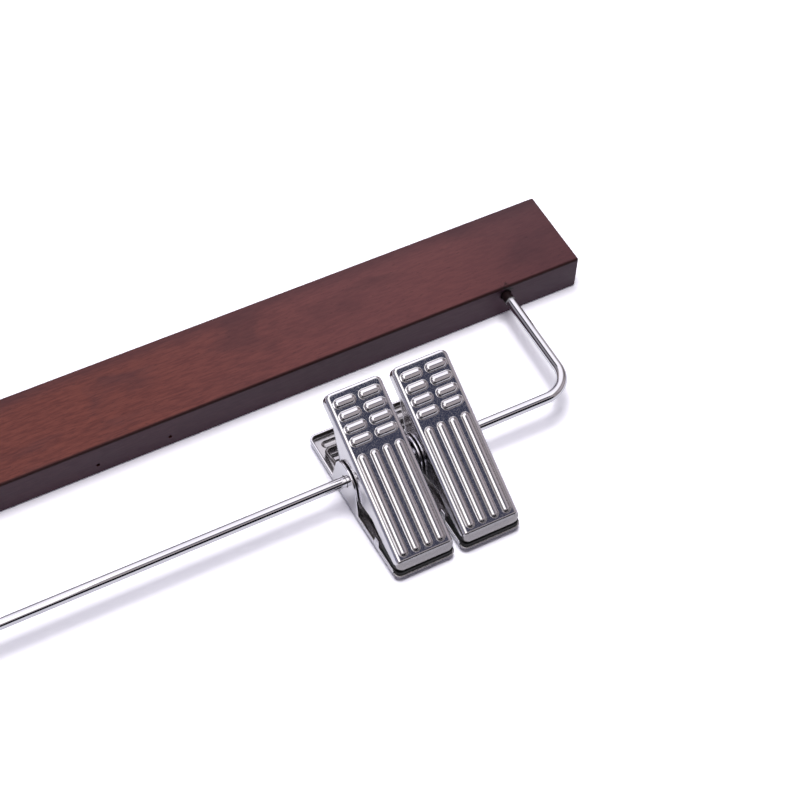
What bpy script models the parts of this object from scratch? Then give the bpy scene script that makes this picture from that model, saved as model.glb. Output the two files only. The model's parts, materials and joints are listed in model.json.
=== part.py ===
"""A wooden trouser hanger, lying flat, with a wire rail and two spring clips.

Lengths are in metres. X runs along the bar, Y up the hanger towards its hook and Z up.
The origin is under the middle of the hanger's overall box, on the ground.
Each clip hinges on the wire: its rear jaw lies on the ground and its front jaw leans on it.
"""
from math import acos, atan2, cos, hypot, pi, radians, sin, sqrt

import bmesh
import bpy
from mathutils import Matrix, Vector

MM = 0.001

# Clearances
FIT_GAP = 0.3 * MM
GRIP_GAP = 0.3 * MM
OVERRUN = 1.0 * MM
MERGE = 0.001 * MM
SHARP_ANGLE = radians(38)

# Bar
BAR_LENGTH = 420 * MM
BAR_WIDTH = 30 * MM
BAR_THICKNESS = 13 * MM
BAR_EDGE_RADIUS = 0.7 * MM
BAR_EDGE_STEPS = 3
PIN_HOLE_DIAMETER = 1.3 * MM
PIN_HOLE_DEPTH = 3.0 * MM
PIN_HOLE_HEIGHT = 4.2 * MM
PIN_HOLE_PLACES = (41.6 * MM, 65.3 * MM)
HOLE_SIDES = 20
PIN_HOLE_SIDES = 8

# Wire rail
RAIL_DIAMETER = 3.4 * MM
RAIL_DROP = 43 * MM
RAIL_LEG_INSET = 27.0 * MM
RAIL_LEG_LEAN = 1.0 * MM
RAIL_LEG_DEPTH = 15 * MM
RAIL_HOLE_HEIGHT = 9.2 * MM
RAIL_BEND_RADIUS = 9.5 * MM
RAIL_EXIT_RADIUS = 20 * MM
RAIL_BEND_STEPS = 8
RAIL_EXIT_STEPS = 2
RAIL_RESOLUTION = 4

# Hook
HOOK_DIAMETER = 4.0 * MM
HOOK_RADIUS = 21 * MM
HOOK_NECK_RADIUS = 14 * MM
HOOK_SHANK = 16 * MM
HOOK_END_ANGLE = radians(192)
HOOK_STEP = radians(10)
HOOK_TIP_ANGLES = (radians(35), radians(62), radians(80))
HOOK_RESOLUTION = 4
HOOK_RUNNING_GAP = 0.3 * MM
FERRULE_RADIUS = 5.4 * MM
FERRULE_HEIGHT = 2.6 * MM
FERRULE_TOP_RADIUS = 3.6 * MM
FERRULE_RIM = 1.0 * MM
WASHER_RADIUS = 4.6 * MM
WASHER_THICKNESS = 0.8 * MM
NUT_RADIUS = 4.1 * MM
NUT_THICKNESS = 3.4 * MM
SHANK_STUB = 0.5 * MM
COUNTERBORE_MARGIN = 0.4 * MM
COUNTERBORE_DEPTH = 6.2 * MM
TURNED_SIDES = 24
NUT_SIDES = 12

# Pressed jaws
SHEET = 0.7 * MM
FRONT_WIDTH = 19.0 * MM
FRONT_REACH = 31.3 * MM
REAR_TIP_MARGIN = 1.1 * MM
FINGER_REACH = 24.9 * MM
FRONT_RISE = 11.5 * MM
REAR_RISE = 10.3 * MM
CORNER_RADIUS = 2.2 * MM
SIDE_BEND_RADIUS = 1.5 * MM
END_BEND_RADIUS = 0.9 * MM
CORNER_STEPS = 3
BEND_TURNS = (pi / 2, pi / 4, 0)
NOSE_LENGTH = 2.4 * MM
FRONT_NOSE_SHARE = 0.85
REAR_NOSE_SHARE = 0.2
RIM_MARGIN = 0.15 * MM
NOTCH_RUN = 0.5 * MM
FRONT_TIP_RAMP = 9.0 * MM
FRONT_WAIST_RIM = 5.2 * MM
FRONT_FINGER_RIM = 3.8 * MM
FRONT_EAR_RADIUS = 4.2 * MM
FRONT_EAR_SLOPE = 0.85
REAR_RIM = 2.5 * MM
REAR_EAR_RADIUS = 6.5 * MM
REAR_EAR_SLOPE = 4.0
REAR_TAPER = 0.4 * MM
REAR_TAPER_START = 9 * MM
REAR_TAB_RISE = 2.8 * MM
REAR_TAB_LENGTH = 3.0 * MM
REAR_TAB_RAMP = 0.3 * MM
EAR_STEPS = 8
LIP_GAP = 0.9 * MM

# Embossing
EMBOSS_HEIGHT = 0.7 * MM
EMBOSS_INSET = 0.55 * MM
EMBOSS_STEPS = 4
RIB_COUNT = 4
RIB_MARGIN = 2.1 * MM
RIB_GAP = 1.5 * MM
RIB_START = 4.7 * MM
RIB_TIP_MARGIN = 1.1 * MM
BUMP_COLUMNS = 2
BUMP_ROWS = 4
BUMP_MARGIN = 1.9 * MM
BUMP_WIDTH = 2.9 * MM
BUMP_COLUMN_GAP = 1.2 * MM
BUMP_ROW_MARGIN = 2.6 * MM
BUMP_END_MARGIN = 2.5 * MM

# Pads
PAD_LENGTH = 9.6 * MM
PAD_PROUD = 0.5 * MM
PAD_CORNER = 1.2 * MM
PAD_CORNER_STEPS = 3
PAD_CHAMFER = 0.7 * MM
PAD_TAB_GAP = 0.4 * MM

# Springs
SPRING_WIRE = 1.2 * MM
SPRING_RADIUS = 2.9 * MM
SPRING_PITCH = 1.9 * MM
SPRING_TURNS = 3
SPRING_POINTS = 9
SPRING_LEG_REACH = 16 * MM
SPRING_LOOP_REACH = 18.4 * MM
SPRING_LOOP_RADIUS = 1.8 * MM
SPRING_LOOP_STEPS = 4

# Places of the clips on the rail
CLIP_GAP = 1.3 * MM
CLIP_TO_BEND = 26.1 * MM

# Sizes that follow from the ones above
REAR_WIDTH = FRONT_WIDTH + 2 * (FIT_GAP + SHEET)
REAR_REACH = FRONT_REACH + REAR_TIP_MARGIN
FRONT_TIP_RIM = NOSE_LENGTH * FRONT_NOSE_SHARE + END_BEND_RADIUS + RIM_MARGIN
RAIL_HEIGHT = REAR_RISE + EMBOSS_HEIGHT
REAR_RIM_HEIGHT = EMBOSS_HEIGHT + REAR_RIM
GRIP_HEIGHT = REAR_RIM_HEIGHT + PAD_PROUD
FRONT_LIP_HEIGHT = REAR_RIM_HEIGHT + LIP_GAP
HOOK_CENTRE = HOOK_SHANK + sqrt(HOOK_RADIUS ** 2 + 2 * HOOK_RADIUS * HOOK_NECK_RADIUS)
HOOK_RISE = HOOK_CENTRE + HOOK_RADIUS + HOOK_DIAMETER / 2
TOTAL_HEIGHT = REAR_REACH + RAIL_DROP + BAR_WIDTH + HOOK_RISE
RAIL_Y = REAR_REACH - TOTAL_HEIGHT / 2
BAR_LOW_Y = RAIL_Y + RAIL_DROP
BAR_TOP_Y = BAR_LOW_Y + BAR_WIDTH
BAR_MID_Z = BAR_THICKNESS / 2
RAIL_LEG_X = BAR_LENGTH / 2 - RAIL_LEG_INSET
RAIL_CORNER_X = RAIL_LEG_X - RAIL_LEG_LEAN
RIGHT_CLIP_X = RAIL_CORNER_X - RAIL_BEND_RADIUS - CLIP_TO_BEND - REAR_WIDTH / 2
LEFT_CLIP_X = RIGHT_CLIP_X - REAR_WIDTH - CLIP_GAP


def splay_angle():
    """The front jaw's lean at rest, which leaves its tip's lip just above the rear jaw's rim."""
    lip_rise = FRONT_RISE - FRONT_TIP_RIM
    drop = FRONT_LIP_HEIGHT - RAIL_HEIGHT
    return acos(drop / hypot(FRONT_REACH, lip_rise)) - atan2(FRONT_REACH, lip_rise)


SPLAY = splay_angle()


# Blender helpers

def clear_scene():
    for item in list(bpy.data.objects):
        bpy.data.objects.remove(item)


def surface(name, colour, roughness, metallic):
    """A plain Principled material."""
    made = bpy.data.materials.new(name)
    made.use_nodes = True
    shader = made.node_tree.nodes["Principled BSDF"]
    shader.inputs["Base Color"].default_value = (*colour, 1)
    shader.inputs["Roughness"].default_value = roughness
    shader.inputs["Metallic"].default_value = metallic
    return made


def wood():
    return surface("stained_wood", (0.11, 0.035, 0.03), 0.35, 0)


def plated_wire():
    return surface("plated_wire", (0.75, 0.75, 0.77), 0.12, 1)


def pressed_steel():
    return surface("pressed_steel", (0.72, 0.72, 0.75), 0.18, 1)


def black_pad():
    return surface("black_pad", (0.012, 0.012, 0.014), 0.55, 0)


def spring_steel():
    return surface("spring_steel", (0.5, 0.5, 0.52), 0.3, 1)


def place(name, data, finish, parent=None, location=(0, 0, 0), rotation=(0, 0, 0)):
    """Link one object, under a parent if it has one."""
    made = bpy.data.objects.new(name, data)
    bpy.context.scene.collection.objects.link(made)
    made.parent = parent
    made.location = location
    made.rotation_euler = rotation
    if finish:
        data.materials.append(finish)
    return made


def empty(name, parent=None, location=(0, 0, 0), rotation=(0, 0, 0)):
    return place(name, None, None, parent, location, rotation)


def finish_mesh(name, mesh):
    """Turn a bmesh into mesh data with its faces outwards and its flat edges sharp."""
    bmesh.ops.remove_doubles(mesh, verts=mesh.verts, dist=MERGE)
    bmesh.ops.recalc_face_normals(mesh, faces=mesh.faces)
    data = bpy.data.meshes.new(name)
    mesh.to_mesh(data)
    mesh.free()
    data.shade_smooth()
    data.set_sharp_from_angle(angle=SHARP_ANGLE)
    return data


def boolean(target, tool, operation):
    """Join a tool to a piece, or cut it out, and keep the tool out of the model."""
    tool.hide_render = True
    tool.display_type = "WIRE"
    step = target.modifiers.new(tool.name, "BOOLEAN")
    step.operation = operation
    step.solver = "EXACT"
    step.object = tool


def rod_tool(name, parent, start, end, radius, sides):
    """A round cutter from one point to another."""
    start, end = Vector(start), Vector(end)
    mesh = bmesh.new()
    bmesh.ops.create_cone(mesh, cap_ends=True, segments=sides, radius1=radius, radius2=radius,
                          depth=(end - start).length)
    turn = (end - start).to_track_quat("Z", "Y").to_matrix().to_4x4()
    mesh.transform(Matrix.Translation((start + end) / 2) @ turn)
    return place(name, finish_mesh(name, mesh), None, parent)


def wire(name, points, diameter, resolution, finish, parent=None, radii=None):
    """A round wire with closed ends along a row of points."""
    curve = bpy.data.curves.new(name, "CURVE")
    curve.dimensions = "3D"
    curve.bevel_depth = diameter / 2
    curve.bevel_resolution = resolution
    curve.use_fill_caps = True
    line = curve.splines.new("POLY")
    line.points.add(len(points) - 1)
    for index, point in enumerate(points):
        line.points[index].co = (*point, 1)
        line.points[index].radius = radii[index] if radii else 1
    return place(name, curve, finish, parent)


def rounded_path(corners, radii, steps):
    """The corners joined by straight runs, with an arc of its own radius at each inner corner."""
    path = [corners[0]]
    for before, corner, after, radius, count in zip(corners, corners[1:], corners[2:], radii, steps):
        back = (before - corner).normalized()
        ahead = (after - corner).normalized()
        half_angle = back.angle(ahead) / 2
        centre = corner + (back + ahead).normalized() * radius / sin(half_angle)
        start = corner + back * radius / sin(half_angle) * cos(half_angle)
        arm = start - centre
        axis = back.cross(ahead).normalized()
        sweep = half_angle * 2 - pi
        for index in range(count + 1):
            path.append(centre + Matrix.Rotation(sweep * index / count, 3, axis) @ arm)
    path.append(corners[-1])
    return path


def turned(name, profile, sides, centre, finish):
    """A ring about the hanger's upward axis, from (radius, y) points that go round its section."""
    mesh = bmesh.new()
    loops = []
    for index in range(sides):
        angle = 2 * pi * index / sides
        loops.append([mesh.verts.new((r * cos(angle), y, r * sin(angle))) for r, y in profile])
    for near, far in zip(loops, loops[1:] + loops[:1]):
        for index in range(len(profile)):
            after = (index + 1) % len(profile)
            mesh.faces.new((near[index], near[after], far[after], far[index]))
    return place(name, finish_mesh(name, mesh), finish, location=centre)


# Bar

def make_bar():
    """The wooden bar, its edges eased, with holes for the wire, the hook and two pins."""
    mesh = bmesh.new()
    bmesh.ops.create_cube(mesh, size=1)
    mesh.transform(Matrix.Diagonal((BAR_LENGTH, BAR_WIDTH, BAR_THICKNESS, 1)))
    middle = (0, (BAR_LOW_Y + BAR_TOP_Y) / 2, BAR_MID_Z)
    bar = place("wood_bar", finish_mesh("wood_bar", mesh), wood(), location=middle)
    ease = bar.modifiers.new("eased_edges", "BEVEL")
    ease.width = BAR_EDGE_RADIUS
    ease.segments = BAR_EDGE_STEPS
    bore = HOOK_DIAMETER / 2 + HOOK_RUNNING_GAP
    recess = WASHER_RADIUS + COUNTERBORE_MARGIN
    pin_radius = PIN_HOLE_DIAMETER / 2
    holes = [
        ("hook_bore", 0, BAR_MID_Z, BAR_WIDTH + OVERRUN, bore, HOLE_SIDES),
        ("hook_counterbore", 0, BAR_MID_Z, COUNTERBORE_DEPTH, recess, HOLE_SIDES),
    ]
    for side in (-1, 1):
        radius = RAIL_DIAMETER / 2 + FIT_GAP
        depth = RAIL_LEG_DEPTH + FIT_GAP
        holes.append(("rail_hole", side * RAIL_LEG_X, RAIL_HOLE_HEIGHT, depth, radius, HOLE_SIDES))
    for x in PIN_HOLE_PLACES:
        holes.append(("pin_hole", x, PIN_HOLE_HEIGHT, PIN_HOLE_DEPTH, pin_radius, PIN_HOLE_SIDES))
    for name, x, z, depth, radius, sides in holes:
        mouth = (x, BAR_LOW_Y - OVERRUN, z)
        floor = (x, BAR_LOW_Y + depth, z)
        boolean(bar, rod_tool(name, None, mouth, floor, radius, sides), "DIFFERENCE")


# Wire rail

def make_rail():
    """The wire, from one hole in the bar, along under it and up into the other hole."""
    end_y = BAR_LOW_Y + RAIL_LEG_DEPTH
    right = [
        Vector((RAIL_CORNER_X, RAIL_Y, RAIL_HEIGHT)),
        Vector((RAIL_LEG_X, BAR_LOW_Y, RAIL_HOLE_HEIGHT)),
        Vector((RAIL_LEG_X, end_y, RAIL_HOLE_HEIGHT)),
    ]
    left = [Vector((-point.x, point.y, point.z)) for point in reversed(right)]
    radii = (RAIL_EXIT_RADIUS, RAIL_BEND_RADIUS, RAIL_BEND_RADIUS, RAIL_EXIT_RADIUS)
    steps = (RAIL_EXIT_STEPS, RAIL_BEND_STEPS, RAIL_BEND_STEPS, RAIL_EXIT_STEPS)
    path = rounded_path(left + right, radii, steps)
    wire("wire_rail", path, RAIL_DIAMETER, RAIL_RESOLUTION, plated_wire())


# Hook

def hook_path():
    """The hook's centre line from the end of its shank: a neck one way, then a bow the other."""
    depth = HOOK_RUNNING_GAP + WASHER_THICKNESS + FIT_GAP + NUT_THICKNESS + SHANK_STUB
    path = [Vector((0, COUNTERBORE_DEPTH - depth - BAR_WIDTH, 0)), Vector((0, 0, 0))]
    neck_centre = Vector((HOOK_NECK_RADIUS, HOOK_SHANK, 0))
    meeting = atan2(HOOK_CENTRE - HOOK_SHANK, -HOOK_NECK_RADIUS)
    neck_steps = round((pi - meeting) / HOOK_STEP)
    for index in range(neck_steps + 1):
        angle = pi - (pi - meeting) * index / neck_steps
        path.append(neck_centre + Vector((cos(angle), sin(angle), 0)) * HOOK_NECK_RADIUS)
    bow_centre = Vector((0, HOOK_CENTRE, 0))
    bow_start = meeting - pi
    bow_steps = round((HOOK_END_ANGLE - bow_start) / HOOK_STEP)
    for index in range(1, bow_steps + 1):
        angle = bow_start + (HOOK_END_ANGLE - bow_start) * index / bow_steps
        path.append(bow_centre + Vector((cos(angle), sin(angle), 0)) * HOOK_RADIUS)
    return path


def round_the_end(path, radius):
    """Lengthen a path by a half round end, and give each point its share of the wire's radius."""
    heading = (path[-1] - path[-2]).normalized()
    shares = [1.0] * len(path)
    last = path[-1]
    for angle in HOOK_TIP_ANGLES:
        path.append(last + heading * radius * sin(angle))
        shares.append(cos(angle))
    return shares


def make_hook():
    """The hook, its collar on the bar's upper edge, and the washer and nut under it."""
    path = hook_path()
    shares = round_the_end(path, HOOK_DIAMETER / 2)
    pivot = empty("hook_pivot", location=(0, BAR_TOP_Y, BAR_MID_Z))
    wire("hook", path, HOOK_DIAMETER, HOOK_RESOLUTION, plated_wire(), pivot, shares)
    bore = HOOK_DIAMETER / 2 + HOOK_RUNNING_GAP
    collar = [
        (bore, FIT_GAP),
        (FERRULE_RADIUS, FIT_GAP),
        (FERRULE_RADIUS, FIT_GAP + FERRULE_RIM),
        (FERRULE_TOP_RADIUS, FIT_GAP + FERRULE_HEIGHT),
        (bore, FIT_GAP + FERRULE_HEIGHT),
    ]
    turned("hook_ferrule", collar, TURNED_SIDES, (0, BAR_TOP_Y, BAR_MID_Z), plated_wire())
    washer_top = COUNTERBORE_DEPTH - HOOK_RUNNING_GAP
    nut_top = washer_top - WASHER_THICKNESS - FIT_GAP
    seat = (0, BAR_LOW_Y, BAR_MID_Z)
    turned("hook_washer", box_section(bore, WASHER_RADIUS, washer_top - WASHER_THICKNESS, washer_top),
           TURNED_SIDES, seat, plated_wire())
    turned("hook_nut", box_section(bore, NUT_RADIUS, nut_top - NUT_THICKNESS, nut_top),
           NUT_SIDES, seat, plated_wire())


def box_section(inner, outer, low, high):
    """The four corners of a plain ring's section."""
    return [(inner, low), (outer, low), (outer, high), (inner, high)]


# Pressed jaws: local x across, y towards the finger end, z outwards from the wire

def ear_line(y, radius, slope):
    """The lower edge of an ear: a round lobe about the wire with a straight side each way."""
    lean = sqrt(1 + slope ** 2)
    if abs(y) <= radius * slope / lean:
        return -sqrt(radius ** 2 - y ** 2)
    return slope * abs(y) - radius * lean


def ear_stations(radius, slope, tip_base, finger_base):
    """The places along a jaw where an ear's outline turns, from its tip side to its finger side."""
    lean = sqrt(1 + slope ** 2)
    half_turn = atan2(slope, 1)
    lobe = [radius * sin(half_turn * (2 * index / EAR_STEPS - 1)) for index in range(EAR_STEPS + 1)]
    tip_foot = -(tip_base + radius * lean) / slope
    finger_foot = (finger_base + radius * lean) / slope
    return [tip_foot] + lobe + [finger_foot]


def front_rim(y):
    """How high the front jaw's rim lies, from the wire outwards, at a place along the jaw."""
    if y > 0:
        base = FRONT_RISE - FRONT_FINGER_RIM
    else:
        share = min(1, max(0, (front_ramp_start() - y) / FRONT_TIP_RAMP))
        base = FRONT_RISE - FRONT_WAIST_RIM + (FRONT_WAIST_RIM - FRONT_TIP_RIM) * share
    return min(base, ear_line(y, FRONT_EAR_RADIUS, FRONT_EAR_SLOPE))


def front_ramp_start():
    """Where the front jaw's side walls begin to get shallower towards the tip."""
    return CORNER_RADIUS + FRONT_TIP_RAMP - FRONT_REACH


def notch_end(reach):
    """Where a jaw's side walls begin, behind the open corners at its tip."""
    return CORNER_RADIUS + NOTCH_RUN - reach


def front_stations():
    ear = ear_stations(FRONT_EAR_RADIUS, FRONT_EAR_SLOPE,
                       FRONT_RISE - FRONT_WAIST_RIM, FRONT_RISE - FRONT_FINGER_RIM)
    return [notch_end(FRONT_REACH), front_ramp_start()] + ear


def pad_back():
    """The pads' rear ends, counted from the wire."""
    return PAD_LENGTH - FRONT_REACH


def tab_place():
    """The tip side end of the rear jaw's tabs, which stand just behind the pads."""
    return pad_back() + PAD_TAB_GAP


def rear_rim(y):
    """How high the rear jaw's rim lies: low, with an ear at the wire and a tab behind the pad."""
    base = REAR_RISE - REAR_RIM
    inside = min(y - tab_place(), tab_place() + REAR_TAB_LENGTH - y)
    tab_share = min(1, max(0, inside / REAR_TAB_RAMP))
    return min(base - REAR_TAB_RISE * tab_share, ear_line(y, REAR_EAR_RADIUS, REAR_EAR_SLOPE))


def rear_stations():
    tab = tab_place()
    stations = [notch_end(REAR_REACH), -REAR_TAPER_START, tab, tab + REAR_TAB_RAMP,
                tab + REAR_TAB_LENGTH - REAR_TAB_RAMP, tab + REAR_TAB_LENGTH]
    base = REAR_RISE - REAR_RIM
    return stations + ear_stations(REAR_EAR_RADIUS, REAR_EAR_SLOPE, base, base)


def nose_drop(y, reach, fall_share):
    """How far the plate falls away near its tip."""
    return max(0, NOSE_LENGTH - reach - y) * fall_share


def bend_radius(across):
    """The outer radius of the bend round the plate: wide along the sides and tight at the ends."""
    return END_BEND_RADIUS + (SIDE_BEND_RADIUS - END_BEND_RADIUS) * across ** 2


def core_side(y, width, reach, taper):
    """Half the width of a jaw's plan less its corner radius, at a place along the jaw."""
    run = reach - CORNER_RADIUS - REAR_TAPER_START
    share = min(1, max(0, (-y - REAR_TAPER_START) / run))
    return width / 2 - CORNER_RADIUS - taper * share


def plan_outline(width, reach, taper, stations):
    """Core points of a jaw's plan with the way out from each, once round."""
    tip = CORNER_RADIUS - reach
    finger = FINGER_REACH - CORNER_RADIUS
    sides = [(core_side(y, width, reach, taper), y) for y in stations]
    narrow, wide = core_side(tip, width, reach, taper), core_side(finger, width, reach, taper)
    turns = [pi / 2 * index / CORNER_STEPS for index in range(CORNER_STEPS + 1)]
    outline = [(-side, y, -1, 0) for side, y in sides]
    outline += [(-wide, finger, -cos(turn), sin(turn)) for turn in turns[1:]]
    outline += [(wide, finger, sin(turn), cos(turn)) for turn in turns[:-1]]
    outline += [(side, y, 1, 0) for side, y in reversed(sides)]
    outline += [(narrow, tip, cos(turn), -sin(turn)) for turn in turns[1:]]
    outline += [(-narrow, tip, -sin(turn), -cos(turn)) for turn in turns[:-1]]
    return outline


def jaw_mesh(name, width, reach, taper, rise, nose_share, rim, rim_stations):
    """A pressed tray: a plate, rounded bends, side walls with ears and a low lip at each end."""
    ends = [CORNER_RADIUS - reach, NOSE_LENGTH - reach, FINGER_REACH - CORNER_RADIUS]
    stations = sorted(set(ends + rim_stations))
    outline = plan_outline(width, reach, taper, stations)
    mesh = bmesh.new()

    def height(y, drop):
        return rise - nose_drop(y, reach, nose_share) - drop

    def core_ring(drop):
        return [mesh.verts.new((x, y, height(y, drop))) for x, y, across, along in outline]

    def bend_ring(turn, depth):
        made = []
        for core_x, core_y, across, along in outline:
            radius = bend_radius(across)
            offset = CORNER_RADIUS - radius + (radius - depth) * sin(turn)
            y = core_y + along * offset
            z = height(y, radius - (radius - depth) * cos(turn))
            made.append(mesh.verts.new((core_x + across * offset, y, z)))
        return made

    def rim_ring(offset):
        made = []
        for core_x, core_y, across, along in outline:
            z = rim(core_y)
            if core_y < ends[1]:
                z = height(core_y + along * CORNER_RADIUS, bend_radius(across) + RIM_MARGIN)
            made.append(mesh.verts.new((core_x + across * offset, core_y + along * offset, z)))
        return made

    def bridge(first, second):
        for index in range(len(first)):
            after = (index + 1) % len(first)
            mesh.faces.new((first[index], first[after], second[after], second[index]))

    def plate(core):
        count = len(stations)
        right_start = count + 2 * CORNER_STEPS
        for index in range(count - 1):
            right = right_start + count - 1 - index
            mesh.faces.new((core[index], core[index + 1], core[right - 1], core[right]))

    outer = [rim_ring(CORNER_RADIUS)] + [bend_ring(turn, 0) for turn in BEND_TURNS] + [core_ring(0)]
    inner = [rim_ring(CORNER_RADIUS - SHEET)] + [bend_ring(turn, SHEET) for turn in BEND_TURNS]
    inner += [core_ring(SHEET)]
    for rings in (outer, inner):
        for first, second in zip(rings, rings[1:]):
            bridge(first, second)
        plate(rings[-1])
    bridge(outer[0], inner[0])
    return finish_mesh(name, mesh)


def oval(mesh, centre_x, centre_y, half_run, radius, z, lengthwise):
    """One oval loop of a pressed rib or bump."""
    loop = []
    for end in (1, -1):
        for index in range(EMBOSS_STEPS + 1):
            angle = pi * index / EMBOSS_STEPS
            out, across = radius * sin(angle) + half_run, radius * cos(angle)
            if lengthwise:
                loop.append(mesh.verts.new((centre_x + end * across, centre_y + end * out, z)))
            else:
                loop.append(mesh.verts.new((centre_x + end * out, centre_y - end * across, z)))
    return loop


def raised_oval(mesh, centre_x, centre_y, length, width, rise, lengthwise):
    """One closed body whose foot lies inside the sheet and whose top stands out of it."""
    radius = width / 2
    half_run = length / 2 - radius
    levels = [
        (radius, rise - SHEET / 2),
        (radius, rise),
        (radius - EMBOSS_INSET, rise + EMBOSS_HEIGHT),
    ]
    loops = [oval(mesh, centre_x, centre_y, half_run, r, z, lengthwise) for r, z in levels]
    for low, high in zip(loops, loops[1:]):
        for index in range(len(low)):
            after = (index + 1) % len(low)
            mesh.faces.new((low[index], low[after], high[after], high[index]))
    mesh.faces.new(loops[0])
    mesh.faces.new(loops[-1])


def emboss_mesh(name, reach, rise):
    """The four long ribs and the rows of bumps on a jaw's plate."""
    mesh = bmesh.new()
    rib_field = FRONT_WIDTH - 2 * RIB_MARGIN
    rib_end = NOSE_LENGTH + RIB_TIP_MARGIN - reach
    rib_width = (rib_field - RIB_GAP * (RIB_COUNT - 1)) / RIB_COUNT
    for index in range(RIB_COUNT):
        x = (index - (RIB_COUNT - 1) / 2) * (rib_width + RIB_GAP)
        raised_oval(mesh, x, (RIB_START + rib_end) / 2, RIB_START - rib_end, rib_width, rise, True)
    bump_length = (FRONT_WIDTH - 2 * BUMP_MARGIN - BUMP_COLUMN_GAP) / BUMP_COLUMNS
    first_row = RIB_START + BUMP_ROW_MARGIN + BUMP_WIDTH / 2
    last_row = FINGER_REACH - BUMP_END_MARGIN - BUMP_WIDTH / 2
    row_pitch = (last_row - first_row) / (BUMP_ROWS - 1)
    for row in range(BUMP_ROWS):
        for column in range(BUMP_COLUMNS):
            x = (column - (BUMP_COLUMNS - 1) / 2) * (bump_length + BUMP_COLUMN_GAP)
            raised_oval(mesh, x, first_row + row * row_pitch, bump_length, BUMP_WIDTH, rise, False)
    return finish_mesh(name, mesh)


def make_jaw(name, pivot, turn, width, reach, taper, rise, nose_share, rim, rim_stations):
    """One jaw with its embossing pressed up and the wire's holes through its ears."""
    data = jaw_mesh(name, width, reach, taper, rise, nose_share, rim, rim_stations)
    jaw = place(name, data, pressed_steel(), pivot, rotation=turn)
    pressing = place(name + "_embossing", emboss_mesh(name + "_embossing", reach, rise), None, jaw)
    boolean(jaw, pressing, "UNION")
    half = width / 2 + OVERRUN
    radius = RAIL_DIAMETER / 2 + FIT_GAP
    holes = rod_tool(name + "_wire_holes", jaw, (-half, 0, 0), (half, 0, 0), radius, HOLE_SIDES)
    boolean(jaw, holes, "DIFFERENCE")
    return jaw


# Pads

def pad_mesh(name, half_width, tip, back, outer_z, grip_z):
    """A block that fills a jaw's tip, with rounded corners at its front, from the plate to the grip."""
    rows = []
    for index in range(PAD_CORNER_STEPS + 1):
        angle = pi / 2 * index / PAD_CORNER_STEPS
        rows.append((tip + PAD_CORNER * (1 - cos(angle)), half_width - PAD_CORNER * (1 - sin(angle))))
    rows.append((back, half_width))
    mesh = bmesh.new()
    loops = []
    for y, half in rows:
        low, high = grip_z(y), outer_z(y)
        section = [(half, low), (half, high - PAD_CHAMFER), (half - PAD_CHAMFER, high)]
        section += [(-x, z) for x, z in reversed(section)]
        loops.append([mesh.verts.new((x, y, z)) for x, z in section])
    for near, far in zip(loops, loops[1:]):
        for index in range(len(near)):
            after = (index + 1) % len(near)
            mesh.faces.new((near[index], near[after], far[after], far[index]))
    mesh.faces.new(loops[0])
    mesh.faces.new(loops[-1])
    return finish_mesh(name, mesh)


def make_front_pad(name, jaw):
    """The front pad: its grip lies level at rest, so it is a wedge in the leaning jaw."""
    half_width = FRONT_WIDTH / 2 - SHEET - FIT_GAP
    level = GRIP_HEIGHT + GRIP_GAP / 2 - RAIL_HEIGHT
    data = pad_mesh(name, half_width, SHEET + FIT_GAP - FRONT_REACH, pad_back(),
                    lambda y: FRONT_RISE - SHEET - FIT_GAP - nose_drop(y, FRONT_REACH, FRONT_NOSE_SHARE),
                    lambda y: (level - y * sin(SPLAY)) / cos(SPLAY))
    place(name, data, black_pad(), jaw)


def make_rear_pad(name, jaw):
    """The rear pad: it fills the rear jaw's tip and stands just proud of its rim."""
    half_width = REAR_WIDTH / 2 - REAR_TAPER - SHEET - FIT_GAP
    level = RAIL_HEIGHT - GRIP_HEIGHT + GRIP_GAP / 2
    data = pad_mesh(name, half_width, SHEET + FIT_GAP - REAR_REACH, pad_back(),
                    lambda y: REAR_RISE - SHEET - FIT_GAP - nose_drop(y, REAR_REACH, REAR_NOSE_SHARE),
                    lambda y: level)
    place(name, data, black_pad(), jaw)


# Springs

def spring_half():
    """From a leg on the front jaw, outwards through turns round the rail, to the rear jaw."""
    inset = SPRING_WIRE / 2 + SHEET + FIT_GAP
    rear = (SPRING_LOOP_REACH, inset - REAR_RISE)
    front_out = FRONT_RISE - inset
    front = (SPRING_LEG_REACH * cos(SPLAY) - front_out * sin(SPLAY),
             SPRING_LEG_REACH * sin(SPLAY) + front_out * cos(SPLAY))
    last = atan2(rear[1], rear[0]) - acos(SPRING_RADIUS / hypot(*rear))
    first = atan2(front[1], front[0]) + acos(SPRING_RADIUS / hypot(*front)) - 2 * pi
    sweep = last - first + 2 * pi * SPRING_TURNS
    count = round(sweep / (2 * pi) * SPRING_POINTS)
    outer_x = FRONT_WIDTH / 2 - SHEET - FIT_GAP - SPRING_WIRE / 2
    inner_x = outer_x - SPRING_PITCH * sweep / (2 * pi)
    path = [Vector((inner_x, *front))]
    for index in range(count + 1):
        angle = last - sweep * (1 - index / count)
        x = inner_x + (outer_x - inner_x) * index / count
        path.append(Vector((x, SPRING_RADIUS * cos(angle), SPRING_RADIUS * sin(angle))))
    path.append(Vector((outer_x, *rear)))
    return path


def spring_path():
    """One wire: two coils of opposite hands, joined by a loop that lies on the rear jaw."""
    right = spring_half()
    left = [Vector((-point.x, point.y, point.z)) for point in right]
    radii = (SPRING_LOOP_RADIUS, SPRING_LOOP_RADIUS)
    steps = (SPRING_LOOP_STEPS, SPRING_LOOP_STEPS)
    loop = rounded_path([left[-2], left[-1], right[-1], right[-2]], radii, steps)
    return left[:-2] + loop + right[-3::-1]


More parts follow.
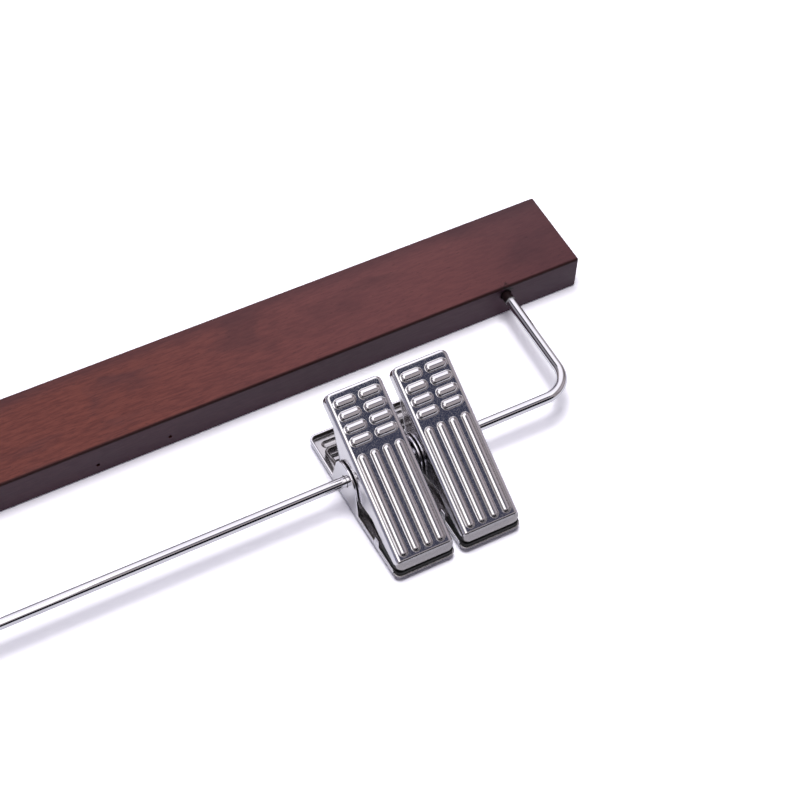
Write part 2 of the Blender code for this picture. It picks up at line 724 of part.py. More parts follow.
def least_gap(path, diameter):
    """The smallest gap between parts of one wire that aren't next to each other along it."""
    apart = SPRING_POINTS // 2
    gaps = []
    for index, point in enumerate(path):
        for other in path[index + apart:]:
            gaps.append((point - other).length - diameter)
    return min(gaps)


# Clips

def make_clip(side, x):
    """One clip about the wire: two jaws, two pads and the spring between them."""
    name = side + "_clip"
    pivot = empty(name, location=(x, RAIL_Y, RAIL_HEIGHT))
    front = make_jaw(name + "_front_jaw", pivot, (SPLAY, 0, 0), FRONT_WIDTH, FRONT_REACH, 0, FRONT_RISE,
                     FRONT_NOSE_SHARE, front_rim, front_stations())
    rear = make_jaw(name + "_rear_jaw", pivot, (0, pi, 0), REAR_WIDTH, REAR_REACH, REAR_TAPER, REAR_RISE,
                    REAR_NOSE_SHARE, rear_rim, rear_stations())
    make_front_pad(name + "_front_pad", front)
    make_rear_pad(name + "_rear_pad", rear)
    path = spring_path()
    wire(name + "_spring", path, SPRING_WIRE, 1, spring_steel(), pivot)
    print(name + "_spring least gap to itself, mm:", round(least_gap(path, SPRING_WIRE) / MM, 2))


def main():
    clear_scene()
    make_bar()
    make_rail()
    make_hook()
    make_clip("left", LEFT_CLIP_X)
    make_clip("right", RIGHT_CLIP_X)
    bpy.context.view_layer.update()


main()
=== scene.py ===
"""The looks of a wooden trouser hanger with two spring clips: fine shapes, finishes, light and camera.

Lengths are in metres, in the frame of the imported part: X along the bar, Y up the hanger and Z up.
"""
import json
from collections import namedtuple
from itertools import chain
from math import acos, atan2, ceil, cos, hypot, pi, radians, sin, sqrt

import bmesh
import bpy
from mathutils import Matrix, Vector


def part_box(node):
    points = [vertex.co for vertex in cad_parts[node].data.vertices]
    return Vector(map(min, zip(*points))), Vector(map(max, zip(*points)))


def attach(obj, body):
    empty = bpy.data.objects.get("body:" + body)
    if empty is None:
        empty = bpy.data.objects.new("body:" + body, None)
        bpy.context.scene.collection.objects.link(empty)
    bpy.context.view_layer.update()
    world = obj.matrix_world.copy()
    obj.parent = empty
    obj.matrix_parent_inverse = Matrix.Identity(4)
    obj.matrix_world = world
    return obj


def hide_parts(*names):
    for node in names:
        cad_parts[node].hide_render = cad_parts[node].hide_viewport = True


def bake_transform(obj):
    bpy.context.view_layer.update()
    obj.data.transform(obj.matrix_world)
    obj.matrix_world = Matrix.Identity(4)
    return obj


MM = 0.001

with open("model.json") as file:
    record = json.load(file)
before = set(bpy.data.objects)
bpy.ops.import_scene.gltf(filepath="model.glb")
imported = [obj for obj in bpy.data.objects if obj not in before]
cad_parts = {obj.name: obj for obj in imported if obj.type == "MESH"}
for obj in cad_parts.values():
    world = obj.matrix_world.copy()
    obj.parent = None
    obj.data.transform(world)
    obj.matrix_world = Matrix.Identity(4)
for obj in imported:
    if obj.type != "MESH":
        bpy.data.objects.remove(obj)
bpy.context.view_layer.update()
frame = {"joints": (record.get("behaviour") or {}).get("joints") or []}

# Places from the frame
BAR_LOW, BAR_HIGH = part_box("wood_bar")
BAR_SIZE = BAR_HIGH - BAR_LOW
BAR_MIDDLE = (BAR_LOW + BAR_HIGH) / 2
JOINTS = {joint["name"]: joint for joint in frame["joints"]}
RAIL_CENTRE = Vector(JOINTS["left_clip_swing"]["pos_m"])
RAIL_Y = RAIL_CENTRE.y
RAIL_HEIGHT = RAIL_CENTRE.z

# Meshes
MERGE = 0.001 * MM
OVERRUN = 1.0 * MM
FIT_GAP = 0.3 * MM
SHARP_ANGLE = radians(45)
BEVEL_ANGLE = radians(35)
WIRE_DOME = [radians(angle) for angle in (30, 55, 75)]

# Bar
BAR_EDGE_RADIUS = 0.7 * MM
BAR_EDGE_STEPS = 4
HOLE_SIDES = 48
PIN_HOLE_DIAMETER = 1.3 * MM
PIN_HOLE_DEPTH = 3.0 * MM
PIN_HOLE_HEIGHT = 4.2 * MM
PIN_HOLE_PLACES = (41.6 * MM, 65.3 * MM)

# Wire rail
RAIL_DIAMETER = 3.4 * MM
RAIL_LEG_INSET = 27.0 * MM
RAIL_LEG_LEAN = 1.0 * MM
RAIL_LEG_DEPTH = 15 * MM
RAIL_HOLE_HEIGHT = 9.2 * MM
RAIL_BEND_RADIUS = 9.5 * MM
RAIL_EXIT_RADIUS = 20 * MM
RAIL_BEND_STEPS = 28
RAIL_EXIT_STEPS = 10
RAIL_STEP = 6 * MM
RAIL_SIDES = 36
LEG_X = BAR_HIGH.x - RAIL_LEG_INSET

# Colour of the bar: where it cools along the bar, partly stain and partly a painted sheen that leaves it
# lighter towards the middle, where it darkens, and its darker back and near edge
COOL_START = 40 * MM
COOL_END = 150 * MM
DARK_START = 165 * MM
DARK_END = 207 * MM
BACK_RUN = 7 * MM
NEAR_START = 0.3 * MM
NEAR_END = 1.1 * MM
NEAR_LOW = 1.0 * MM
NEAR_HIGH = 0.6 * MM

# Painted shade at the mouths of the wire's holes, on the wood round them and on the wire's end
WIRE_SHADE_Y = BAR_LOW.y - 3.4 * MM
WIRE_SHADE_RUN = 1.6 * MM
HOLE_SHADE_HEIGHT = 11.2 * MM
HOLE_SHADE_INNER = 3.9 * MM
HOLE_SHADE_OUTER = 6.24 * MM
HOLE_SHADE_RAGGED = 6.24 * MM

# Depths of the fine relief in the finishes
WAVE_DEPTH = 0.03 * MM
FIBRE_DEPTH = 0.012 * MM
RIPPLE_DEPTH = 0.02 * MM
MARK_DEPTH = 0.004 * MM
PEEL_DEPTH = 0.005 * MM
SPECKLE_DEPTH = 0.0005 * MM
STREAK_DEPTH = 0.006 * MM

# Hook
HOOK_DIAMETER = 4.0 * MM
HOOK_RADIUS = 21 * MM
HOOK_NECK_RADIUS = 14 * MM
HOOK_SHANK = 16 * MM
HOOK_END_ANGLE = radians(192)
HOOK_STEP = radians(3)
HOOK_RUNNING_GAP = 0.3 * MM
FERRULE_RADIUS = 5.4 * MM
FERRULE_HEIGHT = 2.6 * MM
FERRULE_TOP_RADIUS = 3.6 * MM
FERRULE_RIM = 1.0 * MM
WASHER_RADIUS = 4.6 * MM
WASHER_THICKNESS = 0.8 * MM
NUT_RADIUS = 4.1 * MM
NUT_THICKNESS = 3.4 * MM
NUT_CHAMFER = 0.5 * MM
SHANK_STUB = 0.5 * MM
COUNTERBORE_MARGIN = 0.4 * MM
COUNTERBORE_DEPTH = 6.2 * MM
TURNED_SIDES = 72
SMALL_EASE = 0.18 * MM
SMALL_EASE_STEPS = 3

# Pressed jaws
SHEET = 0.7 * MM
FRONT_WIDTH = 19.0 * MM
REAR_WIDTH = FRONT_WIDTH + 2 * (FIT_GAP + SHEET)
FRONT_REACH = 31.3 * MM
REAR_TIP_MARGIN = 1.1 * MM
REAR_REACH = FRONT_REACH + REAR_TIP_MARGIN
FINGER_REACH = 24.9 * MM
FRONT_RISE = 11.5 * MM
REAR_RISE = 10.3 * MM
CORNER_RADIUS = 2.2 * MM
END_BEND_RADIUS = 0.9 * MM
SIDE_BEND_RADIUS = 1.5 * MM
NOSE_LENGTH = 2.4 * MM
FRONT_NOSE_SHARE = 0.85
REAR_NOSE_SHARE = 0.2
NOSE_SOFT = 0.35 * MM
RIM_MARGIN = 0.15 * MM
NOTCH_RUN = 0.5 * MM
FRONT_TIP_RIM = NOSE_LENGTH * FRONT_NOSE_SHARE + END_BEND_RADIUS + RIM_MARGIN
FRONT_TIP_RAMP = 9.0 * MM
FRONT_WAIST_RIM = 5.2 * MM
FRONT_FINGER_RIM = 3.8 * MM
FRONT_EAR_RADIUS = 4.2 * MM
FRONT_EAR_SLOPE = 0.85
REAR_RIM = 2.5 * MM
REAR_EAR_RADIUS = 6.5 * MM
REAR_EAR_SLOPE = 4.0
REAR_TAPER = 0.4 * MM
REAR_TAPER_START = 9 * MM
REAR_TAB_RISE = 2.8 * MM
REAR_TAB_LENGTH = 3.0 * MM
REAR_TAB_RAMP = 0.5 * MM
REAR_TAB_STEPS = 4
LIP_GAP = 0.9 * MM
GRID_STEP = 0.18 * MM
RIB_STEP = 1.0 * MM
CORNER_STEPS = 7
EAR_STEPS = 28
BEND_STEPS = 8
FLAT_STEPS = 2
WALL_STEPS = 6
RIM_STEPS = 6
RIM_EASE = 0.12 * MM
SLOPE_STEP = 0.05 * MM
# The sheet's dull mask: rougher and painted darker, as painted shade inside the jaws and in the creases
# at the foot of ribs and bumps, and partly as painted shade at the nose
DULL_AND_SHADE = "dull_and_shade"
WALL_DULL_AND_SHADE = 0.92
INSIDE_DULL_AND_SHADE = 0.4
NOSE_DULL_AND_SHADE = 0.6
CREASE_DULL_AND_SHADE = 0.75
CREASE_HEIGHT = 0.15 * MM

# Embossing
EMBOSS_HEIGHT = 0.7 * MM
BUMP_MARGIN = 1.9 * MM
RIB_MARGIN = 2.1 * MM
EMBOSS_SOFT = 0.05 * MM
RIB_COUNT = 4
RIB_GAP = 1.5 * MM
RIB_HEIGHT = 0.5 * MM
RIB_START = 4.7 * MM
RIB_TIP_MARGIN = 1.1 * MM
BUMP_COLUMNS = 2
BUMP_ROWS = 4
BUMP_WIDTH = 2.9 * MM
BUMP_COLUMN_GAP = 1.2 * MM
BUMP_ROW_MARGIN = 2.6 * MM
BUMP_END_MARGIN = 2.5 * MM
BUMP_CREST_SHARE = 0.25
BUMP_TIP_FALL = 0.15
BUMP_FINGER_FALL = 0.42

# Pads
SKIRT_GAP = 0.06 * MM
SKIRT_STEP = 0.5 * MM
SKIRT_STEPS = 20
REAR_SKIRT_INSET = 0.45 * MM
PAD_LENGTH = 9.6 * MM
PAD_PROUD = 0.5 * MM
PAD_CORNER = 1.2 * MM
PAD_CORNER_STEPS = 8
PAD_CHAMFER = 0.7 * MM
PAD_EASE = 0.2 * MM
PAD_TAB_GAP = 0.4 * MM
GRIP_GAP = 0.3 * MM

# Springs
SPRING_WIRE = 1.2 * MM
SPRING_RADIUS = 2.9 * MM
SPRING_PITCH = 1.9 * MM
SPRING_TURNS = 3
SPRING_POINTS = 32
SPRING_LEG_REACH = 16 * MM
SPRING_LOOP_REACH = 18.4 * MM
SPRING_LOOP_RADIUS = 1.8 * MM
SPRING_LOOP_STEPS = 12
SPRING_LEG_STEP = 1.5 * MM
SPRING_SIDES = 16

# Camera, as fitted to the photograph
CAMERA_AZIMUTH = radians(-30.62)
CAMERA_ELEVATION = radians(52.69)
CAMERA_ROLL = radians(3.24)
CAMERA_DISTANCE = 658.65 * MM
CAMERA_TARGET = Vector((136.28 * MM, -29.06 * MM, 0))
CAMERA_LENS = 94.67
CAMERA_SENSOR = 36
CAMERA_NEAR = 10 * MM
CAMERA_FAR = 20

# Floor: its colour to the eye, past white as in the photograph, and to the rest of the scene, and how
# far from the lamp it begins to be, and is, plain white to the eye
FLOOR_HALF = 3.0
FLOOR_DROP = 0.02 * MM
FLOOR_SEEN = (1.4, 1.37, 1.47, 1)
FLOOR_PAPER = (0.88, 0.87, 0.93, 1)
FLOOR_LIT = 0.36
FLOOR_WHITE = 0.5

# The dim room that fills the shadows, and the room that bright metal shows: its tone and its patches,
# each a direction, an inner and an outer angle in degrees, and a colour
SHADE_TONE = (0.11, 0.105, 0.13, 1)
ROOM_TONE = (0.42, 0.38, 0.39)
ROOM_PATCHES = (
    ((0.30, 0.70, 0.65), 32, 46, (1.25, 1.21, 1.3)),
    ((0.31, 0.08, 0.95), 16, 22, (1.4, 1.36, 1.42)),
    ((0.15, 0.98, 0.08), 12, 24, (0.36, 0.34, 0.40)),
    ((0.95, 0.00, 0.25), 25, 50, (0.20, 0.17, 0.18)),
    ((0.87, -0.15, 0.46), 12, 26, (0.48, 0.43, 0.46)),
    ((-0.75, 0.50, 0.42), 22, 34, (0.30, 0.28, 0.32)),
    ((-0.80, -0.17, 0.57), 9, 15, (0.16, 0.15, 0.19)),
    ((-0.38, 0.52, 0.76), 8, 12, (0.02, 0.02, 0.03)),
    ((-0.84, 0.52, 0.05), 6, 12, (0.02, 0.02, 0.03)),
    ((0.31, -0.91, 0.26), 18, 22, (0.005, 0.005, 0.01)),
    ((-0.34, -0.92, 0.22), 20, 28, (0.015, 0.015, 0.02)),
    ((-0.98, 0.00, 0.18), 14, 30, (0.27, 0.27, 0.35)),
    ((0.309, -0.341, 0.889), 7, 12, (0.035, 0.04, 0.075)),
)

# Lamps that look straight down: where each stands from the middle of the picture, its width, depth and
# power, and whether plain surfaces and bright metal show it
LAMPS = {
    "softbox": ((-0.29, -0.25, 1.0), 0.66, 1.1, 3.0, False, True),
    "top": ((0.0, 0.12, 1.0), 0.56, 0.56, 9.6, True, False),
}

# Sizes that follow from the ones above
BUMP_FIELD = FRONT_WIDTH - 2 * BUMP_MARGIN
RIB_FIELD = FRONT_WIDTH - 2 * RIB_MARGIN
RIB_WIDTH = (RIB_FIELD - RIB_GAP * (RIB_COUNT - 1)) / RIB_COUNT
REAR_RIM_HEIGHT = EMBOSS_HEIGHT + REAR_RIM
GRIP_HEIGHT = REAR_RIM_HEIGHT + PAD_PROUD
FRONT_LIP_HEIGHT = REAR_RIM_HEIGHT + LIP_GAP


def splay_angle():
    """The front jaw's lean at rest, which leaves its tip's lip just above the rear jaw's rim."""
    lip_rise = FRONT_RISE - FRONT_TIP_RIM
    drop = FRONT_LIP_HEIGHT - RAIL_HEIGHT
    return acos(drop / hypot(FRONT_REACH, lip_rise)) - atan2(FRONT_REACH, lip_rise)


SPLAY = splay_angle()


# Shapes by numbers

def eased(share):
    """A share of the way from 0 to 1 that starts and ends gently."""
    share = min(1, max(0, share))
    return share * share * (3 - 2 * share)


def soft_ramp(distance, soft):
    """Zero below zero and the distance itself above it, with a round turn between."""
    if distance <= -soft:
        return 0
    if distance >= soft:
        return distance
    return (distance + soft) ** 2 / (4 * soft)


def shares(steps):
    """The even shares of a way after its start, up to 1."""
    return [index / steps for index in range(1, steps + 1)]


def quarter(steps):
    """The even angles from 0 to a right angle."""
    return [pi / 2 * index / steps for index in range(steps + 1)]


def centred(count, pitch):
    """Even places on both sides of zero."""
    return [(index - (count - 1) / 2) * pitch for index in range(count)]


def spread(stations, step_at):
    """The stations with even places between them, no further apart than the step wanted there."""
    places = [stations[0]]
    for start, end in zip(stations, stations[1:]):
        count = max(1, ceil((end - start) / step_at((start + end) / 2)))
        places += [start + (end - start) * share for share in shares(count)]
    return places


def rounded_path(corners, radii, steps):
    """The corners joined by straight runs, with an arc of its own radius at each inner corner."""
    path = [corners[0]]
    for before, corner, after, radius, count in zip(corners, corners[1:], corners[2:], radii, steps):
        back = (before - corner).normalized()
        ahead = (after - corner).normalized()
        half_angle = back.angle(ahead) / 2
        centre = corner + (back + ahead).normalized() * radius / sin(half_angle)
        start = corner + back * radius / sin(half_angle) * cos(half_angle)
        arm = start - centre
        axis = back.cross(ahead).normalized()
        sweep = half_angle * 2 - pi
        for index in range(count + 1):
            path.append(centre + Matrix.Rotation(sweep * index / count, 3, axis) @ arm)
    path.append(corners[-1])
    return path


def mirrored(path):
    """The path on the other side, left for right."""
    return [Vector((-point.x, point.y, point.z)) for point in path]


def divided(path, step):
    """The path with its long straight runs cut into steps."""
    made = [path[0]]
    for start, end in zip(path, path[1:]):
        count = max(1, ceil((end - start).length / step))
        made += [start.lerp(end, share) for share in shares(count)]
    return made


# Meshes

def shaded(data):
    """Mesh data with smooth faces and sharp corners."""
    data.shade_smooth()
    data.set_sharp_from_angle(angle=SHARP_ANGLE)
    return data


def finish_mesh(name, mesh):
    """Turn a bmesh into mesh data with its faces outwards and its corners sharp."""
    bmesh.ops.remove_doubles(mesh, verts=mesh.verts, dist=MERGE)
    bmesh.ops.recalc_face_normals(mesh, faces=mesh.faces)
    data = bpy.data.meshes.new(name)
    mesh.to_mesh(data)
    mesh.free()
    return shaded(data)


def placed(name, data):
    """A new object in the scene."""
    made = bpy.data.objects.new(name, data)
    bpy.context.scene.collection.objects.link(made)
    return made


def piece(name, data, finish, body, nodes):
    """One visible piece with its finish, which rides on its body in place of CAD nodes."""
    made = placed(name, data)
    data.materials.clear()
    data.materials.append(finish)
    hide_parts(*nodes)
    if body:
        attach(made, body)
    return made


def band(mesh, near, far):
    """Faces between two closed loops of the same length."""
    for index in range(len(near)):
        after = (index + 1) % len(near)
        corners = dict.fromkeys((near[index], near[after], far[after], far[index]))
        if len(corners) > 2:
            mesh.faces.new(list(corners))


def skinned(name, mesh, loops):
    """The loops joined by bands and closed at both ends."""
    for near, far in zip(loops, loops[1:]):
        band(mesh, near, far)
    mesh.faces.new(loops[0])
    mesh.faces.new(loops[-1])
    return finish_mesh(name, mesh)


def tube(name, path, diameter, sides):
    """A round wire along a row of points, with its ends slightly domed."""
    mesh = bmesh.new()
    radius = diameter / 2
    headings = [(after - before).normalized()
                for before, after in zip(path[:1] + path[:-1], path[1:] + path[-1:])]
    across = headings[0].orthogonal().normalized()
    stations = []
    for point, heading in zip(path, headings):
        across = (across - heading * across.dot(heading)).normalized()
        stations.append((point, heading, across, heading.cross(across)))
    rings = [(stations[0], -sin(angle), cos(angle)) for angle in reversed(WIRE_DOME)]
    rings += [(station, 0, 1) for station in stations]
    rings += [(stations[-1], sin(angle), cos(angle)) for angle in WIRE_DOME]
    made = []
    for (point, heading, side, upright), ahead_share, width_share in rings:
        centre = point + heading * radius * ahead_share
        ring = []
        for index in range(sides):
            turn = 2 * pi * index / sides
            out = side * cos(turn) + upright * sin(turn)
            ring.append(mesh.verts.new(centre + out * radius * width_share))
        made.append(ring)
    return skinned(name, mesh, made)


def rod(start, end, radius, sides):
    """A plain round cutter from one point to another."""
    start, end = Vector(start), Vector(end)
    mesh = bmesh.new()
    bmesh.ops.create_cone(mesh, cap_ends=True, segments=sides, radius1=radius, radius2=radius,
                          depth=(end - start).length)
    turn = (end - start).to_track_quat("Z", "Y").to_matrix().to_4x4()
    mesh.transform(Matrix.Translation((start + end) / 2) @ turn)
    return finish_mesh("cutter", mesh)


def carved(data, cutters, ease=0, ease_steps=1):
    """The mesh after its cutters are taken out of it and its sharp edges are eased."""
    target = placed("carved", data)
    tools = [placed("cutter", cutter) for cutter in cutters]
    for tool in tools:
        step = target.modifiers.new("cut", "BOOLEAN")
        step.operation = "DIFFERENCE"
        step.solver = "EXACT"
        step.object = tool
    if ease:
        soften = target.modifiers.new("ease", "BEVEL")
        soften.width = ease
        soften.segments = ease_steps
        soften.limit_method = "ANGLE"
        soften.angle_limit = BEVEL_ANGLE
    evaluated = target.evaluated_get(bpy.context.evaluated_depsgraph_get())
    made = bpy.data.meshes.new_from_object(evaluated)
    for item in tools + [target]:
        bpy.data.objects.remove(item)
    return shaded(made)


def turned(name, profile, sides, centre):
    """A ring about the hanger's upward axis, from (radius, y) points that go round its section."""
    mesh = bmesh.new()
    loops = []
    for index in range(sides):
        angle = 2 * pi * index / sides
        loops.append([mesh.verts.new(centre + Vector((r * cos(angle), y, r * sin(angle))))
                      for r, y in profile])
    for near, far in zip(loops, loops[1:] + loops[:1]):
        band(mesh, near, far)
    return finish_mesh(name, mesh)


# Node materials

class Nodes:
    """A node tree being put together."""

    def __init__(self, tree):
        self.tree = tree

    def feed(self, socket, value):
        """Join an output to a socket, or set the socket to a plain value."""
        if isinstance(value, bpy.types.NodeSocket):
            self.tree.links.new(value, socket)
        else:
            socket.default_value = value

    def node(self, kind, values=(), **settings):
        """A new node with its settings, and its inputs fed by name or in order."""
        made = self.tree.nodes.new(kind)
        for name, value in settings.items():
            setattr(made, name, value)
        for key, value in values.items() if isinstance(values, dict) else enumerate(values):
            self.feed(made.inputs[key], value)
        return made

    def levels(self, value, low, high, to_low=0.0, to_high=1.0):
        """A value's range from low to high, spread smoothly over another range."""
        made = self.node("ShaderNodeMapRange", interpolation_type="SMOOTHSTEP")
        for socket, number in zip(made.inputs, (value, low, high, to_low, to_high)):
            self.feed(socket, number)
        return made.outputs["Result"]

    def maths(self, operation, *values):
        return self.node("ShaderNodeMath", values, operation=operation).outputs["Value"]

    def measured(self, operation, *vectors):
        """A number worked out from vectors, such as their distance."""
        return self.node("ShaderNodeVectorMath", vectors, operation=operation).outputs["Value"]

    def mixed(self, share, first, second):
        """Two colours mixed by a share."""
        made = self.node("ShaderNodeMix", {"Factor": share}, data_type="RGBA")
        colours = [socket for socket in made.inputs if socket.type == "RGBA"]
        self.feed(colours[0], first)
        self.feed(colours[1], second)
        return [socket for socket in made.outputs if socket.type == "RGBA"][0]

    def either(self, share, first, second):
        """Two shaders mixed by a share."""
        return self.node("ShaderNodeMixShader", (share, first, second)).outputs["Shader"]


class Finish(Nodes):
    """One procedural material being put together. Its textures are laid out in metres on the object."""

    def __init__(self, name):
        self.material = bpy.data.materials.new(name)
        self.material.use_nodes = True
        super().__init__(self.material.node_tree)
        self.shader = self.tree.nodes["Principled BSDF"]
        self.place = self.node("ShaderNodeTexCoord").outputs["Object"]

    def set(self, name, value):
        self.feed(self.shader.inputs[name], value)

    def noise(self, clouds, detail=2.0, roughness=0.5, distortion=0.0, along=None):
        """Noise with a number of clouds to the metre, and its own number along the bar if wanted."""
        values = {"Vector": self.place, "Scale": (along or clouds, clouds, clouds)}
        place = self.node("ShaderNodeMapping", values).outputs["Vector"]
        values = {"Vector": place, "Scale": 1, "Detail": detail, "Roughness": roughness,
                  "Distortion": distortion}
        return self.node("ShaderNodeTexNoise", values).outputs["Fac"]

    def axis(self, name):
        """One coordinate of the object, in metres."""
        return self.node("ShaderNodeSeparateXYZ", [self.place]).outputs[name]

    def upward(self):
        """How squarely the surface faces up, from the object's own normals."""
        normal = self.node("ShaderNodeTexCoord").outputs["Normal"]
        return self.node("ShaderNodeSeparateXYZ", [normal]).outputs["Z"]

    def bump(self, height, depth, below=None):
        """A bumped normal, its full height given in metres."""
        values = {"Strength": 1, "Distance": depth, "Height": height}
        if below:
            values["Normal"] = below
        return self.node("ShaderNodeBump", values).outputs["Normal"]


def colour(red, green, blue):
    """A colour from screen values of 0 to 255."""
    def linear(value):
        share = value / 255
        return share / 12.92 if share <= 0.04045 else ((share + 0.055) / 1.055) ** 2.4
    return (linear(red), linear(green), linear(blue), 1)


def hole_mouth_shade(finish):
    """How far the painted shade round the mouths of the wire's holes darkens the wood, with a ragged
    edge.
    """
    across = finish.maths("ABSOLUTE", finish.axis("X"))
    place = finish.node("ShaderNodeCombineXYZ", (across, finish.axis("Y"), finish.axis("Z")))
    middle = (LEG_X, BAR_LOW.y, HOLE_SHADE_HEIGHT)
    reach = finish.measured("DISTANCE", place.outputs["Vector"], middle)
    ragged = finish.maths("MULTIPLY_ADD", finish.noise(700), HOLE_SHADE_RAGGED, reach)
    return finish.levels(ragged, HOLE_SHADE_INNER, HOLE_SHADE_OUTER, 0.9, 0)


def stained_wood():
    """Lacquered, reddish brown wood: short fibres, cloudy stain, painted shade and sheen on its sides, a
    darker far edge, a colour that cools along the bar, partly painted sheen, and painted shade round the
    wire's holes.
    """
    finish = Finish("stained_wood_grain")
    x, y, z = finish.axis("X"), finish.axis("Y"), finish.axis("Z")
    fibres = finish.noise(1500, 3, 0.6, 0.3, along=220)
    pores = finish.levels(finish.noise(2400, along=520), 0.60, 0.74)
    clouds = finish.noise(75, 4, 0.55, 0.5, along=34)
    near = finish.levels(y, BAR_LOW.y + NEAR_START, BAR_LOW.y + NEAR_END, 1, 0)
    top = finish.levels(z, BAR_HIGH.z - NEAR_LOW, BAR_HIGH.z - NEAR_HIGH)
    # Each layer's share and its colour, over the layers before it
    layers = (
        (finish.levels(fibres, 0.3, 0.7), colour(112, 60, 53)),
        # Partly stain and partly painted sheen: the bar cools along its length from a lighter, warmer
        # middle
        (finish.levels(x, COOL_START, COOL_END, 0, 0.6), colour(97, 61, 66)),
        (finish.levels(clouds, 0.46, 0.72, 0, 0.55), colour(68, 40, 44)),
        (finish.maths("MULTIPLY", pores, 0.35), colour(52, 30, 32)),
        (finish.levels(x, DARK_START, DARK_END, 0, 0.5), colour(62, 40, 48)),
        (finish.levels(y, BAR_HIGH.y - BACK_RUN, BAR_HIGH.y, 0, 0.6), colour(62, 38, 44)),
        # Painted shade and sheen: the sides, ends and underside, which face away from the top, take their
        # own purplish colour
        (finish.levels(finish.upward(), 0.35, 0.75, 0.85, 0), colour(72, 51, 64)),
        (finish.maths("MULTIPLY", near, top), colour(40, 14, 16)),
        # Painted shade round the mouths of the wire's holes
        (hole_mouth_shade(finish), colour(22, 11, 13)),
    )
    base = colour(90, 47, 44)
    for share, tint in layers:
        base = finish.mixed(share, base, tint)
    finish.set("Base Color", base)
    finish.set("Roughness", finish.levels(fibres, 0.3, 0.7, 0.5, 0.4))
    finish.set("Specular IOR Level", 0.22)
    waves = finish.bump(finish.noise(120, along=40), WAVE_DEPTH)
    grain = finish.bump(fibres, FIBRE_DEPTH, waves)
    finish.set("Normal", finish.bump(pores, -FIBRE_DEPTH, grain))
    return finish.material


def bright_wire(name, shaded_from=None):
    """Bright plated wire, with faint drawing marks, and painted dark past a place up the hanger, as
    painted shade and reflection at the mouth of the bar's hole.
    """
    finish = Finish(name)
    marks = finish.noise(900, 3, 0.6, along=500)
    clouds = finish.noise(60)
    base = finish.mixed(finish.levels(clouds, 0.35, 0.7, 0, 0.5), colour(226, 225, 228),
                        colour(206, 206, 212))
    metal = 1.0
    roughness = finish.levels(marks, 0.3, 0.75, 0.05, 0.09)
    if shaded_from is not None:
        # Painted shade and reflection: the wire turns dark and dull where it goes into the bar
        uneven = finish.maths("MULTIPLY_ADD", marks, WIRE_SHADE_RUN, finish.axis("Y"))
        metal = finish.levels(uneven, shaded_from, shaded_from + WIRE_SHADE_RUN, 1, 0)
        base = finish.mixed(metal, colour(24, 13, 15), base)
        roughness = finish.levels(metal, 0, 1, 0.5, 0.07)
        finish.set("Specular IOR Level", 0.15)
    finish.set("Metallic", metal)
    finish.set("Roughness", roughness)
    finish.set("Base Color", base)
    ripples = finish.bump(clouds, RIPPLE_DEPTH)
    finish.set("Normal", finish.bump(marks, MARK_DEPTH, ripples))
    return finish.material


def pressed_steel():
    """Plated sheet: bright, with the fine orange peel of a barrel plated pressing, and rougher and
    painted darker inside, as painted shade.
    """
    finish = Finish("pressed_steel_plate")
    speckle = finish.noise(1600, 3, 0.6)
    peel = finish.noise(420, 3, 0.55)
    clouds = finish.noise(90)
    finish.set("Metallic", 1.0)
    base = finish.mixed(finish.levels(clouds, 0.35, 0.7, 0, 0.6), colour(231, 229, 232),
                        colour(216, 216, 224))
    dull_and_shade = finish.node("ShaderNodeAttribute", attribute_name=DULL_AND_SHADE).outputs["Fac"]
    # Painted shade: the dull mask darkens the sheet to this colour inside, in the creases and partly at
    # the nose
    finish.set("Base Color", finish.mixed(dull_and_shade, base, colour(96, 87, 83)))
    shine = finish.levels(speckle, 0.3, 0.75, 0.12, 0.2)
    finish.set("Roughness", finish.maths("MULTIPLY_ADD", dull_and_shade, 0.2, shine))
    waves = finish.bump(clouds, RIPPLE_DEPTH)
    skin = finish.bump(peel, PEEL_DEPTH, waves)
    finish.set("Normal", finish.bump(speckle, SPECKLE_DEPTH, skin))
    return finish.material


def black_rubber():
    """Matt black pad material with a fine grain and slightly paler scuffs."""
    finish = Finish("black_pad_rubber")
    grain = finish.noise(2200, 3, 0.6)
    scuffs = finish.noise(300, 3, 0.6)
    finish.set("Base Color", finish.mixed(finish.levels(scuffs, 0.5, 0.75), colour(12, 12, 14),
                                          colour(26, 25, 28)))
    finish.set("Roughness", finish.levels(grain, 0.3, 0.7, 0.5, 0.68))
    finish.set("Normal", finish.bump(grain, RIPPLE_DEPTH))
    return finish.material


def spring_steel():
    """Oil hardened spring wire: grey, a little streaked."""
    finish = Finish("spring_steel_wire")
    streaks = finish.noise(900, 3, 0.6)
    clouds = finish.noise(220)
    finish.set("Metallic", 1.0)
    finish.set("Base Color", finish.mixed(finish.levels(clouds, 0.35, 0.7), colour(120, 116, 116),
                                          colour(160, 158, 160)))
    finish.set("Roughness", finish.levels(streaks, 0.3, 0.75, 0.18, 0.32))
    finish.set("Normal", finish.bump(streaks, STREAK_DEPTH))
    return finish.material


# Bar

